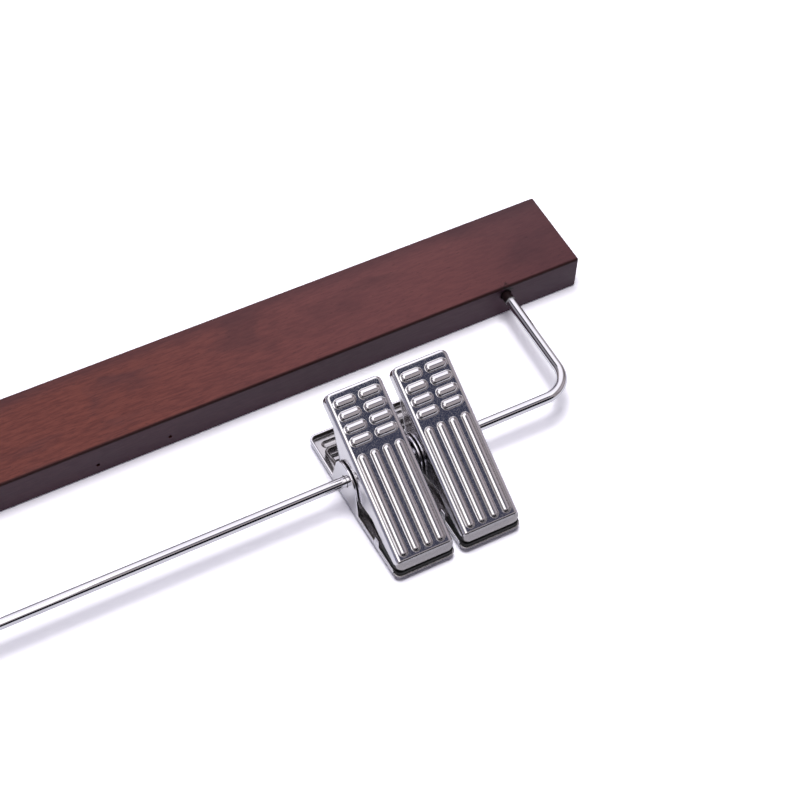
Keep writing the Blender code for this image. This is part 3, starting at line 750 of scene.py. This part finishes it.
def make_bar(finish):
    """The bar with eased edges and its holes for the wire, the hook and two pins."""
    mesh = bmesh.new()
    bmesh.ops.create_cube(mesh, size=1)
    mesh.transform(Matrix.Translation(BAR_MIDDLE) @ Matrix.Diagonal((*BAR_SIZE, 1)))
    bmesh.ops.bevel(mesh, geom=mesh.edges, offset=BAR_EDGE_RADIUS, segments=BAR_EDGE_STEPS,
                    profile=0.5, affect="EDGES")
    bore = HOOK_DIAMETER / 2 + HOOK_RUNNING_GAP
    recess = WASHER_RADIUS + COUNTERBORE_MARGIN
    leg_radius = RAIL_DIAMETER / 2 + FIT_GAP
    holes = [
        (0, BAR_MIDDLE.z, BAR_SIZE.y + OVERRUN, bore),
        (0, BAR_MIDDLE.z, COUNTERBORE_DEPTH, recess),
        (-LEG_X, RAIL_HOLE_HEIGHT, RAIL_LEG_DEPTH + FIT_GAP, leg_radius),
        (LEG_X, RAIL_HOLE_HEIGHT, RAIL_LEG_DEPTH + FIT_GAP, leg_radius),
    ]
    holes += [(x, PIN_HOLE_HEIGHT, PIN_HOLE_DEPTH, PIN_HOLE_DIAMETER / 2) for x in PIN_HOLE_PLACES]
    cutters = []
    for x, z, depth, radius in holes:
        mouth = (x, BAR_LOW.y - OVERRUN, z)
        floor = (x, BAR_LOW.y + depth, z)
        cutters.append(rod(mouth, floor, radius, HOLE_SIDES))
    data = carved(finish_mesh("bar", mesh), cutters)
    piece("bar", data, finish, "hanger", ["wood_bar"])


# Wire rail

def make_rail(finish):
    """The wire, from one hole in the bar, along under it and up into the other hole."""
    right = [
        Vector((LEG_X - RAIL_LEG_LEAN, RAIL_Y, RAIL_HEIGHT)),
        Vector((LEG_X, BAR_LOW.y, RAIL_HOLE_HEIGHT)),
        Vector((LEG_X, BAR_LOW.y + RAIL_LEG_DEPTH, RAIL_HOLE_HEIGHT)),
    ]
    radii = (RAIL_EXIT_RADIUS, RAIL_BEND_RADIUS, RAIL_BEND_RADIUS, RAIL_EXIT_RADIUS)
    steps = (RAIL_EXIT_STEPS, RAIL_BEND_STEPS, RAIL_BEND_STEPS, RAIL_EXIT_STEPS)
    path = divided(rounded_path(mirrored(right)[::-1] + right, radii, steps), RAIL_STEP)
    data = tube("rail", path, RAIL_DIAMETER, RAIL_SIDES)
    piece("rail", data, finish, "hanger", ["wire_rail"])


# Hook

def arc(centre, radius, start, end):
    """Points along an arc in the hanger's plane."""
    steps = round(abs(end - start) / HOOK_STEP)
    angles = [start + (end - start) * index / steps for index in range(steps + 1)]
    return [centre + Vector((cos(angle), sin(angle), 0)) * radius for angle in angles]


def hook_path():
    """The hook's centre line from the end of its shank: a neck one way, then a bow the other."""
    rise = sqrt(HOOK_RADIUS ** 2 + 2 * HOOK_RADIUS * HOOK_NECK_RADIUS)
    depth = HOOK_RUNNING_GAP + WASHER_THICKNESS + FIT_GAP + NUT_THICKNESS + SHANK_STUB
    meeting = atan2(rise, -HOOK_NECK_RADIUS)
    path = [Vector((0, COUNTERBORE_DEPTH - depth - BAR_SIZE.y, 0)), Vector((0, 0, 0))]
    path += arc(Vector((HOOK_NECK_RADIUS, HOOK_SHANK, 0)), HOOK_NECK_RADIUS, pi, meeting)
    path += arc(Vector((0, HOOK_SHANK + rise, 0)), HOOK_RADIUS, meeting - pi, HOOK_END_ANGLE)[1:]
    seat = Vector((0, BAR_HIGH.y, BAR_MIDDLE.z))
    return [point + seat for point in path]


def nut_profile(bore, low, high):
    """The nut's section, its outer corners cut back at both faces."""
    return [
        (bore, low),
        (NUT_RADIUS - NUT_CHAMFER, low),
        (NUT_RADIUS, low + NUT_CHAMFER / 2),
        (NUT_RADIUS, high - NUT_CHAMFER / 2),
        (NUT_RADIUS - NUT_CHAMFER, high),
        (bore, high),
    ]


def hexagonal(data, centre):
    """Press the round outer wall of a nut into six flats."""
    flat = NUT_RADIUS * cos(pi / 6)
    for vertex in data.vertices:
        across = vertex.co.x - centre.x
        upward = vertex.co.z - centre.z
        radius = hypot(across, upward)
        turn = atan2(upward, across) % (pi / 3) - pi / 6
        limit = flat / cos(turn)
        if radius > limit:
            vertex.co.x = centre.x + across * limit / radius
            vertex.co.z = centre.z + upward * limit / radius


def make_hook(finish):
    """The hook, its collar on the bar's upper edge, and the washer and nut under it."""
    data = tube("hook_bow", hook_path(), HOOK_DIAMETER, RAIL_SIDES)
    piece("hook_bow", data, finish, "hook_turning", ["hook"])
    bore = HOOK_DIAMETER / 2 + HOOK_RUNNING_GAP
    collar = [
        (bore, FIT_GAP),
        (FERRULE_RADIUS, FIT_GAP),
        (FERRULE_RADIUS, FIT_GAP + FERRULE_RIM),
        (FERRULE_TOP_RADIUS, FIT_GAP + FERRULE_HEIGHT),
        (bore, FIT_GAP + FERRULE_HEIGHT),
    ]
    washer_high = COUNTERBORE_DEPTH - HOOK_RUNNING_GAP
    washer_low = washer_high - WASHER_THICKNESS
    washer = [(bore, washer_low), (WASHER_RADIUS, washer_low), (WASHER_RADIUS, washer_high),
              (bore, washer_high)]
    nut_high = washer_low - FIT_GAP
    nut = nut_profile(bore, nut_high - NUT_THICKNESS, nut_high)
    rings = (
        ("hook_collar", collar, BAR_HIGH.y, "hanger", "hook_ferrule"),
        ("hook_shim", washer, BAR_LOW.y, "hanger", "hook_washer"),
        ("hook_locknut", nut, BAR_LOW.y, "hook_turning", "hook_nut"),
    )
    for name, profile, seat_y, body, node in rings:
        seat = Vector((0, seat_y, BAR_MIDDLE.z))
        data = turned(name, profile, TURNED_SIDES, seat)
        if profile == nut:
            hexagonal(data, seat)
        data = carved(data, [], SMALL_EASE, SMALL_EASE_STEPS)
        piece(name, data, finish, body, [node])


# Pressed jaws: local x across, y towards the finger end, z outwards from the wire

class Jaw(namedtuple("Jaw", "width reach taper rise nose_share rim stations")):
    """The numbers of one jaw, with its rim's height and the places along it where its outline turns."""

    def top(self, y):
        """The plate's height from the wire outwards, which falls away near the tip."""
        return self.rise - soft_ramp(NOSE_LENGTH - self.reach - y, NOSE_SOFT) * self.nose_share

    def core_side(self, y):
        """Half the width of the plan less its corner radius."""
        run = self.reach - CORNER_RADIUS - REAR_TAPER_START
        share = min(1, max(0, (-y - REAR_TAPER_START) / run))
        return self.width / 2 - CORNER_RADIUS - self.taper * share


def ear_line(y, radius, slope):
    """The lower edge of an ear: a round lobe about the wire with a straight side each way."""
    lean = sqrt(1 + slope ** 2)
    if abs(y) <= radius * slope / lean:
        return -sqrt(radius ** 2 - y ** 2)
    return slope * abs(y) - radius * lean


def ear_stations(radius, slope, tip_base, finger_base):
    """The places along a jaw where an ear's outline turns, from its tip side to its finger side."""
    lean = sqrt(1 + slope ** 2)
    half_turn = atan2(slope, 1)
    lobe = [radius * sin(half_turn * (2 * index / EAR_STEPS - 1)) for index in range(EAR_STEPS + 1)]
    tip_foot = -(tip_base + radius * lean) / slope
    finger_foot = (finger_base + radius * lean) / slope
    return [tip_foot] + lobe + [finger_foot]


def front_ramp_start():
    """Where the front jaw's side walls begin to get shallower towards the tip."""
    return CORNER_RADIUS + FRONT_TIP_RAMP - FRONT_REACH


def front_rim(y):
    """How high the front jaw's rim lies, from the wire outwards, at a place along the jaw."""
    if y > 0:
        base = FRONT_RISE - FRONT_FINGER_RIM
    else:
        share = min(1, max(0, (front_ramp_start() - y) / FRONT_TIP_RAMP))
        base = FRONT_RISE - FRONT_WAIST_RIM + (FRONT_WAIST_RIM - FRONT_TIP_RIM) * share
    return min(base, ear_line(y, FRONT_EAR_RADIUS, FRONT_EAR_SLOPE))


def pad_back():
    """The pads' rear ends, counted from the wire."""
    return PAD_LENGTH - FRONT_REACH


def tab_place():
    """The tip side end of the rear jaw's tabs, which stand just behind the pads."""
    return pad_back() + PAD_TAB_GAP


def rear_rim(y):
    """How high the rear jaw's rim lies: low, with an ear at the wire and a tab behind the pad."""
    base = REAR_RISE - REAR_RIM
    inside = min(y - tab_place(), tab_place() + REAR_TAB_LENGTH - y)
    rise = REAR_TAB_RISE * eased(inside / REAR_TAB_RAMP)
    return min(base - rise, ear_line(y, REAR_EAR_RADIUS, REAR_EAR_SLOPE))


def notch_end(reach):
    """Where a jaw's side walls begin, behind the open corners at its tip."""
    return CORNER_RADIUS + NOTCH_RUN - reach


def front_shape():
    stations = [notch_end(FRONT_REACH), front_ramp_start()]
    stations += ear_stations(FRONT_EAR_RADIUS, FRONT_EAR_SLOPE, FRONT_RISE - FRONT_WAIST_RIM,
                             FRONT_RISE - FRONT_FINGER_RIM)
    return Jaw(FRONT_WIDTH, FRONT_REACH, 0, FRONT_RISE, FRONT_NOSE_SHARE, front_rim, stations)


def rear_shape():
    tab, far = tab_place(), tab_place() + REAR_TAB_LENGTH
    ramp = [REAR_TAB_RAMP * share for share in [0] + shares(REAR_TAB_STEPS)]
    stations = [notch_end(REAR_REACH), -REAR_TAPER_START]
    stations += [tab + step for step in ramp] + [far - step for step in reversed(ramp)]
    base = REAR_RISE - REAR_RIM
    stations += ear_stations(REAR_EAR_RADIUS, REAR_EAR_SLOPE, base, base)
    return Jaw(REAR_WIDTH, REAR_REACH, REAR_TAPER, REAR_RISE, REAR_NOSE_SHARE, rear_rim, stations)


def pressings(reach):
    """Centre, half run along x and along y, and radius of each rib and bump on a plate."""
    rib_end = NOSE_LENGTH + RIB_TIP_MARGIN - reach
    rib_run = (RIB_START - rib_end - RIB_WIDTH) / 2
    made = [(x, (RIB_START + rib_end) / 2, 0, rib_run, RIB_WIDTH / 2)
            for x in centred(RIB_COUNT, RIB_WIDTH + RIB_GAP)]
    bump_length = (BUMP_FIELD - BUMP_COLUMN_GAP) / BUMP_COLUMNS
    bump_run = (bump_length - BUMP_WIDTH) / 2
    first_row = RIB_START + BUMP_ROW_MARGIN + BUMP_WIDTH / 2
    last_row = FINGER_REACH - BUMP_END_MARGIN - BUMP_WIDTH / 2
    row_pitch = (last_row - first_row) / (BUMP_ROWS - 1)
    for row in range(BUMP_ROWS):
        for x in centred(BUMP_COLUMNS, bump_length + BUMP_COLUMN_GAP):
            made.append((x, first_row + row * row_pitch, bump_run, 0, BUMP_WIDTH / 2))
    return made


def ridge_height(out, radius, height):
    """The height of a round pressed ridge at a distance out from its middle, its foot softened."""
    arc = (radius ** 2 + height ** 2) / (2 * height)
    if out < radius:
        rise = sqrt(arc ** 2 - out ** 2) - arc + height
    else:
        rise = (radius - out) * radius / (arc - height)
    return soft_ramp(rise, EMBOSS_SOFT)


def bump_height(across, along, radius):
    """The height of a grip bump: a long slope to the tip, a short one to the finger end, domed ends."""
    past = along - BUMP_CREST_SHARE * radius
    roof = EMBOSS_HEIGHT - max(past * BUMP_FINGER_FALL, -past * BUMP_TIP_FALL)
    return min(max(0, roof), ridge_height(hypot(across, along), radius, EMBOSS_HEIGHT))


def pressed_height(x, y, shapes):
    """How far the sheet is pressed up at a place on the plate."""
    rise = 0
    for centre_x, centre_y, run_x, run_y, radius in shapes:
        across = max(0, abs(x - centre_x) - run_x)
        along = max(0, abs(y - centre_y) - run_y)
        if across < 2 * radius and along < 2 * radius:
            if run_x:
                rise = max(rise, bump_height(across, y - centre_y, radius))
            else:
                rise = max(rise, ridge_height(hypot(across, along), radius, RIB_HEIGHT))
    return rise


def bend_radius(across):
    """The outer radius of the bend round the plate: wide along the sides and tight at the ends."""
    return END_BEND_RADIUS + (SIDE_BEND_RADIUS - END_BEND_RADIUS) * across ** 2


def rim_height(jaw, y, across, along):
    """How high the rim lies under a core point: just under the bend at the tip, then the wall's rim."""
    tip_rim = jaw.top(y + along * CORNER_RADIUS) - bend_radius(across) - RIM_MARGIN
    if along < 0:
        return tip_rim
    share = eased((y - CORNER_RADIUS + jaw.reach) / NOTCH_RUN)
    return tip_rim + (jaw.rim(y) - tip_rim) * share


def rim_slope(jaw, y, across, along):
    """How steeply the rim of a side wall climbs along the jaw."""
    if abs(across) < 1:
        return 0
    low, high = [rim_height(jaw, y + step, across, along) for step in (-SLOPE_STEP, SLOPE_STEP)]
    return (high - low) / (2 * SLOPE_STEP)


def border(last_column, last_row):
    """The core grid's edge once round: grid column and row, and the way out as (across, along)."""
    turns = quarter(CORNER_STEPS)
    edge = [(0, row, -1, 0) for row in range(last_row)]
    edge += [(0, last_row, -cos(turn), sin(turn)) for turn in turns]
    edge += [(column, last_row, 0, 1) for column in range(1, last_column)]
    edge += [(last_column, last_row, sin(turn), cos(turn)) for turn in turns]
    edge += [(last_column, row, 1, 0) for row in range(last_row - 1, 0, -1)]
    edge += [(last_column, 0, cos(turn), -sin(turn)) for turn in turns]
    edge += [(column, 0, 0, -1) for column in range(last_column - 1, 0, -1)]
    edge += [(0, 0, -sin(turn), -cos(turn)) for turn in turns[:-1]]
    return edge


class Pressing:
    """The sheet of one jaw being put together: plate with ribs and bumps, round bends, walls and rim."""

    def __init__(self, jaw):
        ends = [CORNER_RADIUS - jaw.reach, FINGER_REACH - CORNER_RADIUS]
        plain = (ends[0] + 2 * RIB_WIDTH, RIB_START - RIB_WIDTH)
        self.jaw = jaw
        self.columns = spread([-1, 1], lambda share: GRID_STEP / jaw.core_side(0))
        self.rows = spread(sorted(ends + jaw.stations + list(plain)),
                           lambda y: RIB_STEP if plain[0] < y < plain[1] else GRID_STEP)
        self.shapes = pressings(jaw.reach)
        self.edge = border(len(self.columns) - 1, len(self.rows) - 1)
        self.core = []
        for column, row, across, along in self.edge:
            y = self.rows[row]
            self.core.append((self.columns[column] * jaw.core_side(y), y, across, along))
        self.mesh = bmesh.new()
        self.dull_and_shade = self.mesh.verts.layers.float.new(DULL_AND_SHADE)

    def plate_point(self, x, y, drop):
        """A vertex on the plate, rougher and painted darker as shade in the creases at the foot of its
        ribs and bumps.
        """
        height = pressed_height(x, y, self.shapes)
        made = self.mesh.verts.new((x, y, self.jaw.top(y) + height - drop))
        if height:
            made[self.dull_and_shade] = CREASE_DULL_AND_SHADE * (1 - eased(height / CREASE_HEIGHT - 1))
        return made

    def plate(self, drop):
        """The grid over the core of the plate, and the loop round its edge."""
        grid = [[self.plate_point(share * self.jaw.core_side(y), y, drop) for y in self.rows]
                for share in self.columns]
        for near, far in zip(grid, grid[1:]):
            for index in range(len(self.rows) - 1):
                self.mesh.faces.new((near[index], near[index + 1], far[index + 1], far[index]))
        return [grid[column][row] for column, row, across, along in self.edge]

    def flat_ring(self, share, drop):
        """A loop between the core and the bend's start, on the plate."""
        made = []
        for x, y, across, along in self.core:
            offset = (CORNER_RADIUS - bend_radius(across)) * share
            made.append(self.plate_point(x + across * offset, y + along * offset, drop))
        return made

    def bend_ring(self, turn, depth):
        """A loop on the bend, a turn of it down from the plate and a depth inside its outer face."""
        made = []
        for x, core_y, across, along in self.core:
            radius = bend_radius(across)
            offset = CORNER_RADIUS - radius + (radius - depth) * sin(turn)
            y = core_y + along * offset
            z = self.jaw.top(y) - radius + (radius - depth) * cos(turn)
            made.append(self.mesh.verts.new((x + across * offset, y, z)))
        return made

    def wall_ring(self, offset, share, ease):
        """A loop on a side wall: share 0 is just under the bend, 1 at the rim less its easing."""
        made = []
        for x, core_y, across, along in self.core:
            y = core_y + along * offset
            top = self.jaw.top(y) - bend_radius(across)
            slope = rim_slope(self.jaw, core_y, across, along)
            lean = hypot(1, slope)
            low_z = rim_height(self.jaw, core_y, across, along) + ease / lean
            point = (x + across * offset, y - slope / lean * ease * share, top + (low_z - top) * share)
            made.append(self.mesh.verts.new(point))
        return made

    def face(self, depth):
        """The loops of the outer face, or of the inner one at its depth, from the plate to the rim."""
        rings = [self.plate(depth)]
        rings += [self.flat_ring(share, depth) for share in shares(FLAT_STEPS)]
        rings += [self.bend_ring(turn, depth) for turn in quarter(BEND_STEPS)[1:]]
        rings += [self.wall_ring(CORNER_RADIUS - depth, share, RIM_EASE) for share in shares(WALL_STEPS)]
        return rings

    def rim(self):
        """The loops round the rim's edge."""
        rings = []
        for index in range(1, RIM_STEPS):
            turn = pi * index / RIM_STEPS
            offset = CORNER_RADIUS - SHEET / 2 + SHEET / 2 * cos(turn)
            rings.append(self.wall_ring(offset, 1, RIM_EASE * (1 - sin(turn))))
        return rings

    def skin(self, name):
        """Both faces joined at the rim, the outer one rougher and painted darker at its nose too, partly
        as shade, and the inner one all over, as painted shade.
        """
        outer = self.face(0) + self.rim()
        for vertex in self.mesh.verts:
            nose = NOSE_DULL_AND_SHADE * eased((NOSE_LENGTH - self.jaw.reach - vertex.co.y) / NOSE_SOFT)
            vertex[self.dull_and_shade] = max(nose, vertex[self.dull_and_shade])
        outer_count = len(self.mesh.verts)
        inner = self.face(SHEET)
        for vertex in list(self.mesh.verts)[outer_count:]:
            vertex[self.dull_and_shade] = INSIDE_DULL_AND_SHADE
        for vertex in chain(*inner[-WALL_STEPS:]):
            vertex[self.dull_and_shade] = WALL_DULL_AND_SHADE
        rings = outer + inner[::-1]
        for near, far in zip(rings, rings[1:]):
            band(self.mesh, near, far)
        return finish_mesh(name, self.mesh)


def clip_place(side):
    """Where a clip's hinge lies, from its swing joint."""
    return Matrix.Translation(Vector(JOINTS[side + "_clip_swing"]["pos_m"]))


def make_jaw(side, which, jaw, placing, finish):
    """One jaw with the wire's holes through its ears."""
    reach = jaw.width / 2 + OVERRUN
    hole = rod((-reach, 0, 0), (reach, 0, 0), RAIL_DIAMETER / 2 + FIT_GAP, HOLE_SIDES)
    data = carved(Pressing(jaw).skin(side + which), [hole])
    data.transform(placing)
    name = f"{side}_{which}_pressing"
    body = f"{side}_clip_{which}"
    piece(name, data, finish, body, [f"{side}_clip_{which}_jaw"])


# Pads

def pad_mesh(jaw, grip_z):
    """A block that fills a jaw's tip, with rounded corners at its front, from the plate to the grip."""
    half_width = jaw.width / 2 - jaw.taper - SHEET - FIT_GAP
    tip = SHEET + FIT_GAP - jaw.reach
    outline = [(tip + PAD_CORNER * (1 - cos(turn)), half_width - PAD_CORNER * (1 - sin(turn)))
               for turn in quarter(PAD_CORNER_STEPS)]
    outline.append((pad_back(), half_width))
    mesh = bmesh.new()
    loops = []
    for y, half in outline:
        low = grip_z(y)
        high = jaw.top(y) - SHEET - FIT_GAP
        section = [(half, low), (half, high - PAD_CHAMFER), (half - PAD_CHAMFER, high)]
        section += [(-x, z) for x, z in reversed(section)]
        loops.append([mesh.verts.new((x, y, z)) for x, z in section])
    return skinned("pad", mesh, loops)


def skirt_mesh(jaw, inset, grip_z):
    """The pad's edge, which fills the jaw's open corners and stands under the rim round its tip."""
    tip = CORNER_RADIUS - jaw.reach
    half = jaw.core_side(tip)
    side = [notch_end(jaw.reach) + SKIRT_STEP * index for index in range(SKIRT_STEPS + 1)]
    side = [y for y in side if y < pad_back()] + [pad_back()]
    right = [(half, tip, sin(turn), -cos(turn)) for turn in quarter(CORNER_STEPS)]
    right += [(jaw.core_side(y), y, 1, 0) for y in side]
    left = [(-x, y, -across, along) for x, y, across, along in reversed(right)]
    mesh = bmesh.new()
    outer, inner = CORNER_RADIUS - inset, CORNER_RADIUS - SHEET - 2 * FIT_GAP
    sections = []
    for x, y, across, along in left + right:
        rim = rim_height(jaw, y, across, min(along, 0)) - SKIRT_GAP
        low = grip_z(y + along * outer)
        corners = ((outer, low), (outer, rim), (inner, rim), (inner, low))
        sections.append([mesh.verts.new((x + across * out, y + along * out, z)) for out, z in corners])
    return skinned("skirt", mesh, sections)


def make_pad(side, which, jaw, inset, grip_z, placing, finish):
    """One pad in its jaw: the block and its edge as one mesh, eased."""
    mesh = bmesh.new()
    mesh.from_mesh(pad_mesh(jaw, grip_z))
    mesh.from_mesh(skirt_mesh(jaw, inset, grip_z))
    data = carved(finish_mesh("pad", mesh), [], PAD_EASE, SMALL_EASE_STEPS)
    data.transform(placing)
    body = f"{side}_clip_{which}"
    piece(f"{side}_{which}_rubber", data, finish, body, [f"{side}_clip_{which}_pad"])


def front_grip(y):
    """The front pad's grip face lies level at rest, so the pad is a wedge in the leaning jaw."""
    return (GRIP_HEIGHT + GRIP_GAP / 2 - RAIL_HEIGHT - y * sin(SPLAY)) / cos(SPLAY)


def rear_grip(y):
    """The rear pad's grip face stands just proud of the rim, all along the jaw."""
    return RAIL_HEIGHT - GRIP_HEIGHT + GRIP_GAP / 2


# Springs

def spring_half():
    """From a leg on the front jaw, outwards through turns round the rail, to the rear jaw."""
    inset = SPRING_WIRE / 2 + SHEET + FIT_GAP
    rear = (SPRING_LOOP_REACH, inset - REAR_RISE)
    front_out = FRONT_RISE - inset
    front = (SPRING_LEG_REACH * cos(SPLAY) - front_out * sin(SPLAY),
             SPRING_LEG_REACH * sin(SPLAY) + front_out * cos(SPLAY))
    last = atan2(rear[1], rear[0]) - acos(SPRING_RADIUS / hypot(*rear))
    first = atan2(front[1], front[0]) + acos(SPRING_RADIUS / hypot(*front)) - 2 * pi
    sweep = last - first + 2 * pi * SPRING_TURNS
    count = round(sweep / (2 * pi) * SPRING_POINTS)
    outer_x = FRONT_WIDTH / 2 - SHEET - FIT_GAP - SPRING_WIRE / 2
    inner_x = outer_x - SPRING_PITCH * sweep / (2 * pi)
    path = [Vector((inner_x, *front))]
    for index in range(count + 1):
        angle = last - sweep * (1 - index / count)
        x = inner_x + (outer_x - inner_x) * index / count
        path.append(Vector((x, SPRING_RADIUS * cos(angle), SPRING_RADIUS * sin(angle))))
    path.append(Vector((outer_x, *rear)))
    return path


def spring_path():
    """One wire: two coils of opposite hands, joined by a loop that lies on the rear jaw."""
    right = spring_half()
    left = mirrored(right)
    loop = rounded_path([left[-2], left[-1], right[-1], right[-2]], [SPRING_LOOP_RADIUS] * 2,
                        [SPRING_LOOP_STEPS] * 2)
    return divided(left[:-2] + loop + right[-3::-1], SPRING_LEG_STEP)


def make_spring(side, finish):
    """The clip's spring, between its jaws."""
    data = tube(side + "_spring", spring_path(), SPRING_WIRE, SPRING_SIDES)
    data.transform(clip_place(side))
    made = piece(side + "_spring_coil", data, finish, None, [side + "_clip_spring"])
    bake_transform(made)


# Stage, light and camera

def floor_white():
    """White paper that shows the object's shadow, and is plain white to the eye far from the lamp."""
    material = bpy.data.materials.new("floor_paper")
    material.use_nodes = True
    material.node_tree.nodes.clear()
    nodes = Nodes(material.node_tree)
    seen = nodes.node("ShaderNodeLightPath").outputs["Is Camera Ray"]
    tone = nodes.mixed(seen, FLOOR_PAPER, FLOOR_SEEN)
    paper = nodes.node("ShaderNodeBsdfDiffuse", {"Color": tone}).outputs["BSDF"]
    white = nodes.node("ShaderNodeEmission").outputs["Emission"]
    place = nodes.node("ShaderNodeTexCoord").outputs["Object"]
    far = nodes.levels(nodes.measured("DISTANCE", place, CAMERA_TARGET), FLOOR_LIT, FLOOR_WHITE)
    shown = nodes.either(nodes.maths("MULTIPLY", far, seen), paper, white)
    nodes.node("ShaderNodeOutputMaterial", {"Surface": shown})
    return material


def make_floor():
    ways = ((-1, -1), (1, -1), (1, 1), (-1, 1))
    corners = [(x * FLOOR_HALF, y * FLOOR_HALF, -FLOOR_DROP) for x, y in ways]
    data = bpy.data.meshes.new("floor")
    data.from_pydata(corners, [], [(0, 1, 2, 3)])
    data.materials.append(floor_white())
    placed("floor", data)


def make_world():
    """A studio that is white to the eye, a room of soft patches to metal and dim to plain surfaces."""
    world = bpy.data.worlds.new("studio")
    bpy.context.scene.world = world
    world.use_nodes = True
    world.node_tree.nodes.clear()
    nodes = Nodes(world.node_tree)
    sky = nodes.node("ShaderNodeTexCoord").outputs["Generated"]
    room = (*ROOM_TONE, 1)
    for direction, inner, outer, tint in ROOM_PATCHES:
        toward = nodes.measured("DOT_PRODUCT", sky, Vector(direction).normalized())
        share = nodes.levels(toward, cos(radians(outer)), cos(radians(inner)))
        room = nodes.mixed(share, room, (*tint, 1))
    dim, patched, white = [nodes.node("ShaderNodeBackground", {"Color": tone}).outputs["Background"]
                           for tone in (SHADE_TONE, room, (1, 1, 1, 1))]
    ray = nodes.node("ShaderNodeLightPath").outputs
    shown = nodes.either(ray["Is Glossy Ray"], dim, patched)
    shown = nodes.either(ray["Is Camera Ray"], shown, white)
    nodes.node("ShaderNodeOutputWorld", {"Surface": shown})


def make_lights():
    """Large soft lamps that look straight down."""
    for name, (place, width, depth, power, lights, shows) in LAMPS.items():
        data = bpy.data.lights.new(name, "AREA")
        data.shape = "RECTANGLE"
        data.size = width
        data.size_y = depth
        data.energy = power
        made = placed(name, data)
        made.location = CAMERA_TARGET + Vector(place)
        made.visible_diffuse = lights
        made.visible_glossy = shows


def make_camera():
    """The photograph's camera."""
    a, e = CAMERA_AZIMUTH, CAMERA_ELEVATION
    back = Vector((sin(a) * cos(e), -cos(a) * cos(e), sin(e)))
    right = Vector((0, 0, 1)).cross(back).normalized()
    up = back.cross(right)
    right, up = (cos(CAMERA_ROLL) * right + sin(CAMERA_ROLL) * up,
                 cos(CAMERA_ROLL) * up - sin(CAMERA_ROLL) * right)
    lens = bpy.data.cameras.new("camera")
    lens.lens = CAMERA_LENS
    lens.sensor_width = CAMERA_SENSOR
    lens.clip_start = CAMERA_NEAR
    lens.clip_end = CAMERA_FAR
    camera = placed("camera", lens)
    placing = Matrix((right, up, back)).transposed().to_4x4()
    placing.translation = CAMERA_TARGET + back * CAMERA_DISTANCE
    camera.matrix_world = placing
    bpy.context.scene.camera = camera


def make_object():
    wood = stained_wood()
    wire = bright_wire("plated_wire_shine")
    rail = bright_wire("rail_wire_shine", WIRE_SHADE_Y)
    steel = pressed_steel()
    rubber = black_rubber()
    spring = spring_steel()
    make_bar(wood)
    make_rail(rail)
    make_hook(wire)
    for side in ("left", "right"):
        clip = clip_place(side)
        front_place = clip @ Matrix.Rotation(SPLAY, 4, "X")
        rear_place = clip @ Matrix.Rotation(pi, 4, "Y")
        make_jaw(side, "front", front_shape(), front_place, steel)
        make_jaw(side, "rear", rear_shape(), rear_place, steel)
        make_pad(side, "front", front_shape(), 0, front_grip, front_place, rubber)
        make_pad(side, "rear", rear_shape(), REAR_SKIRT_INSET, rear_grip, rear_place, rubber)
        make_spring(side, spring)


make_camera()
make_object()
make_floor()
make_world()
make_lights()
bpy.context.scene.view_settings.view_transform = "Standard"
bpy.context.view_layer.update()
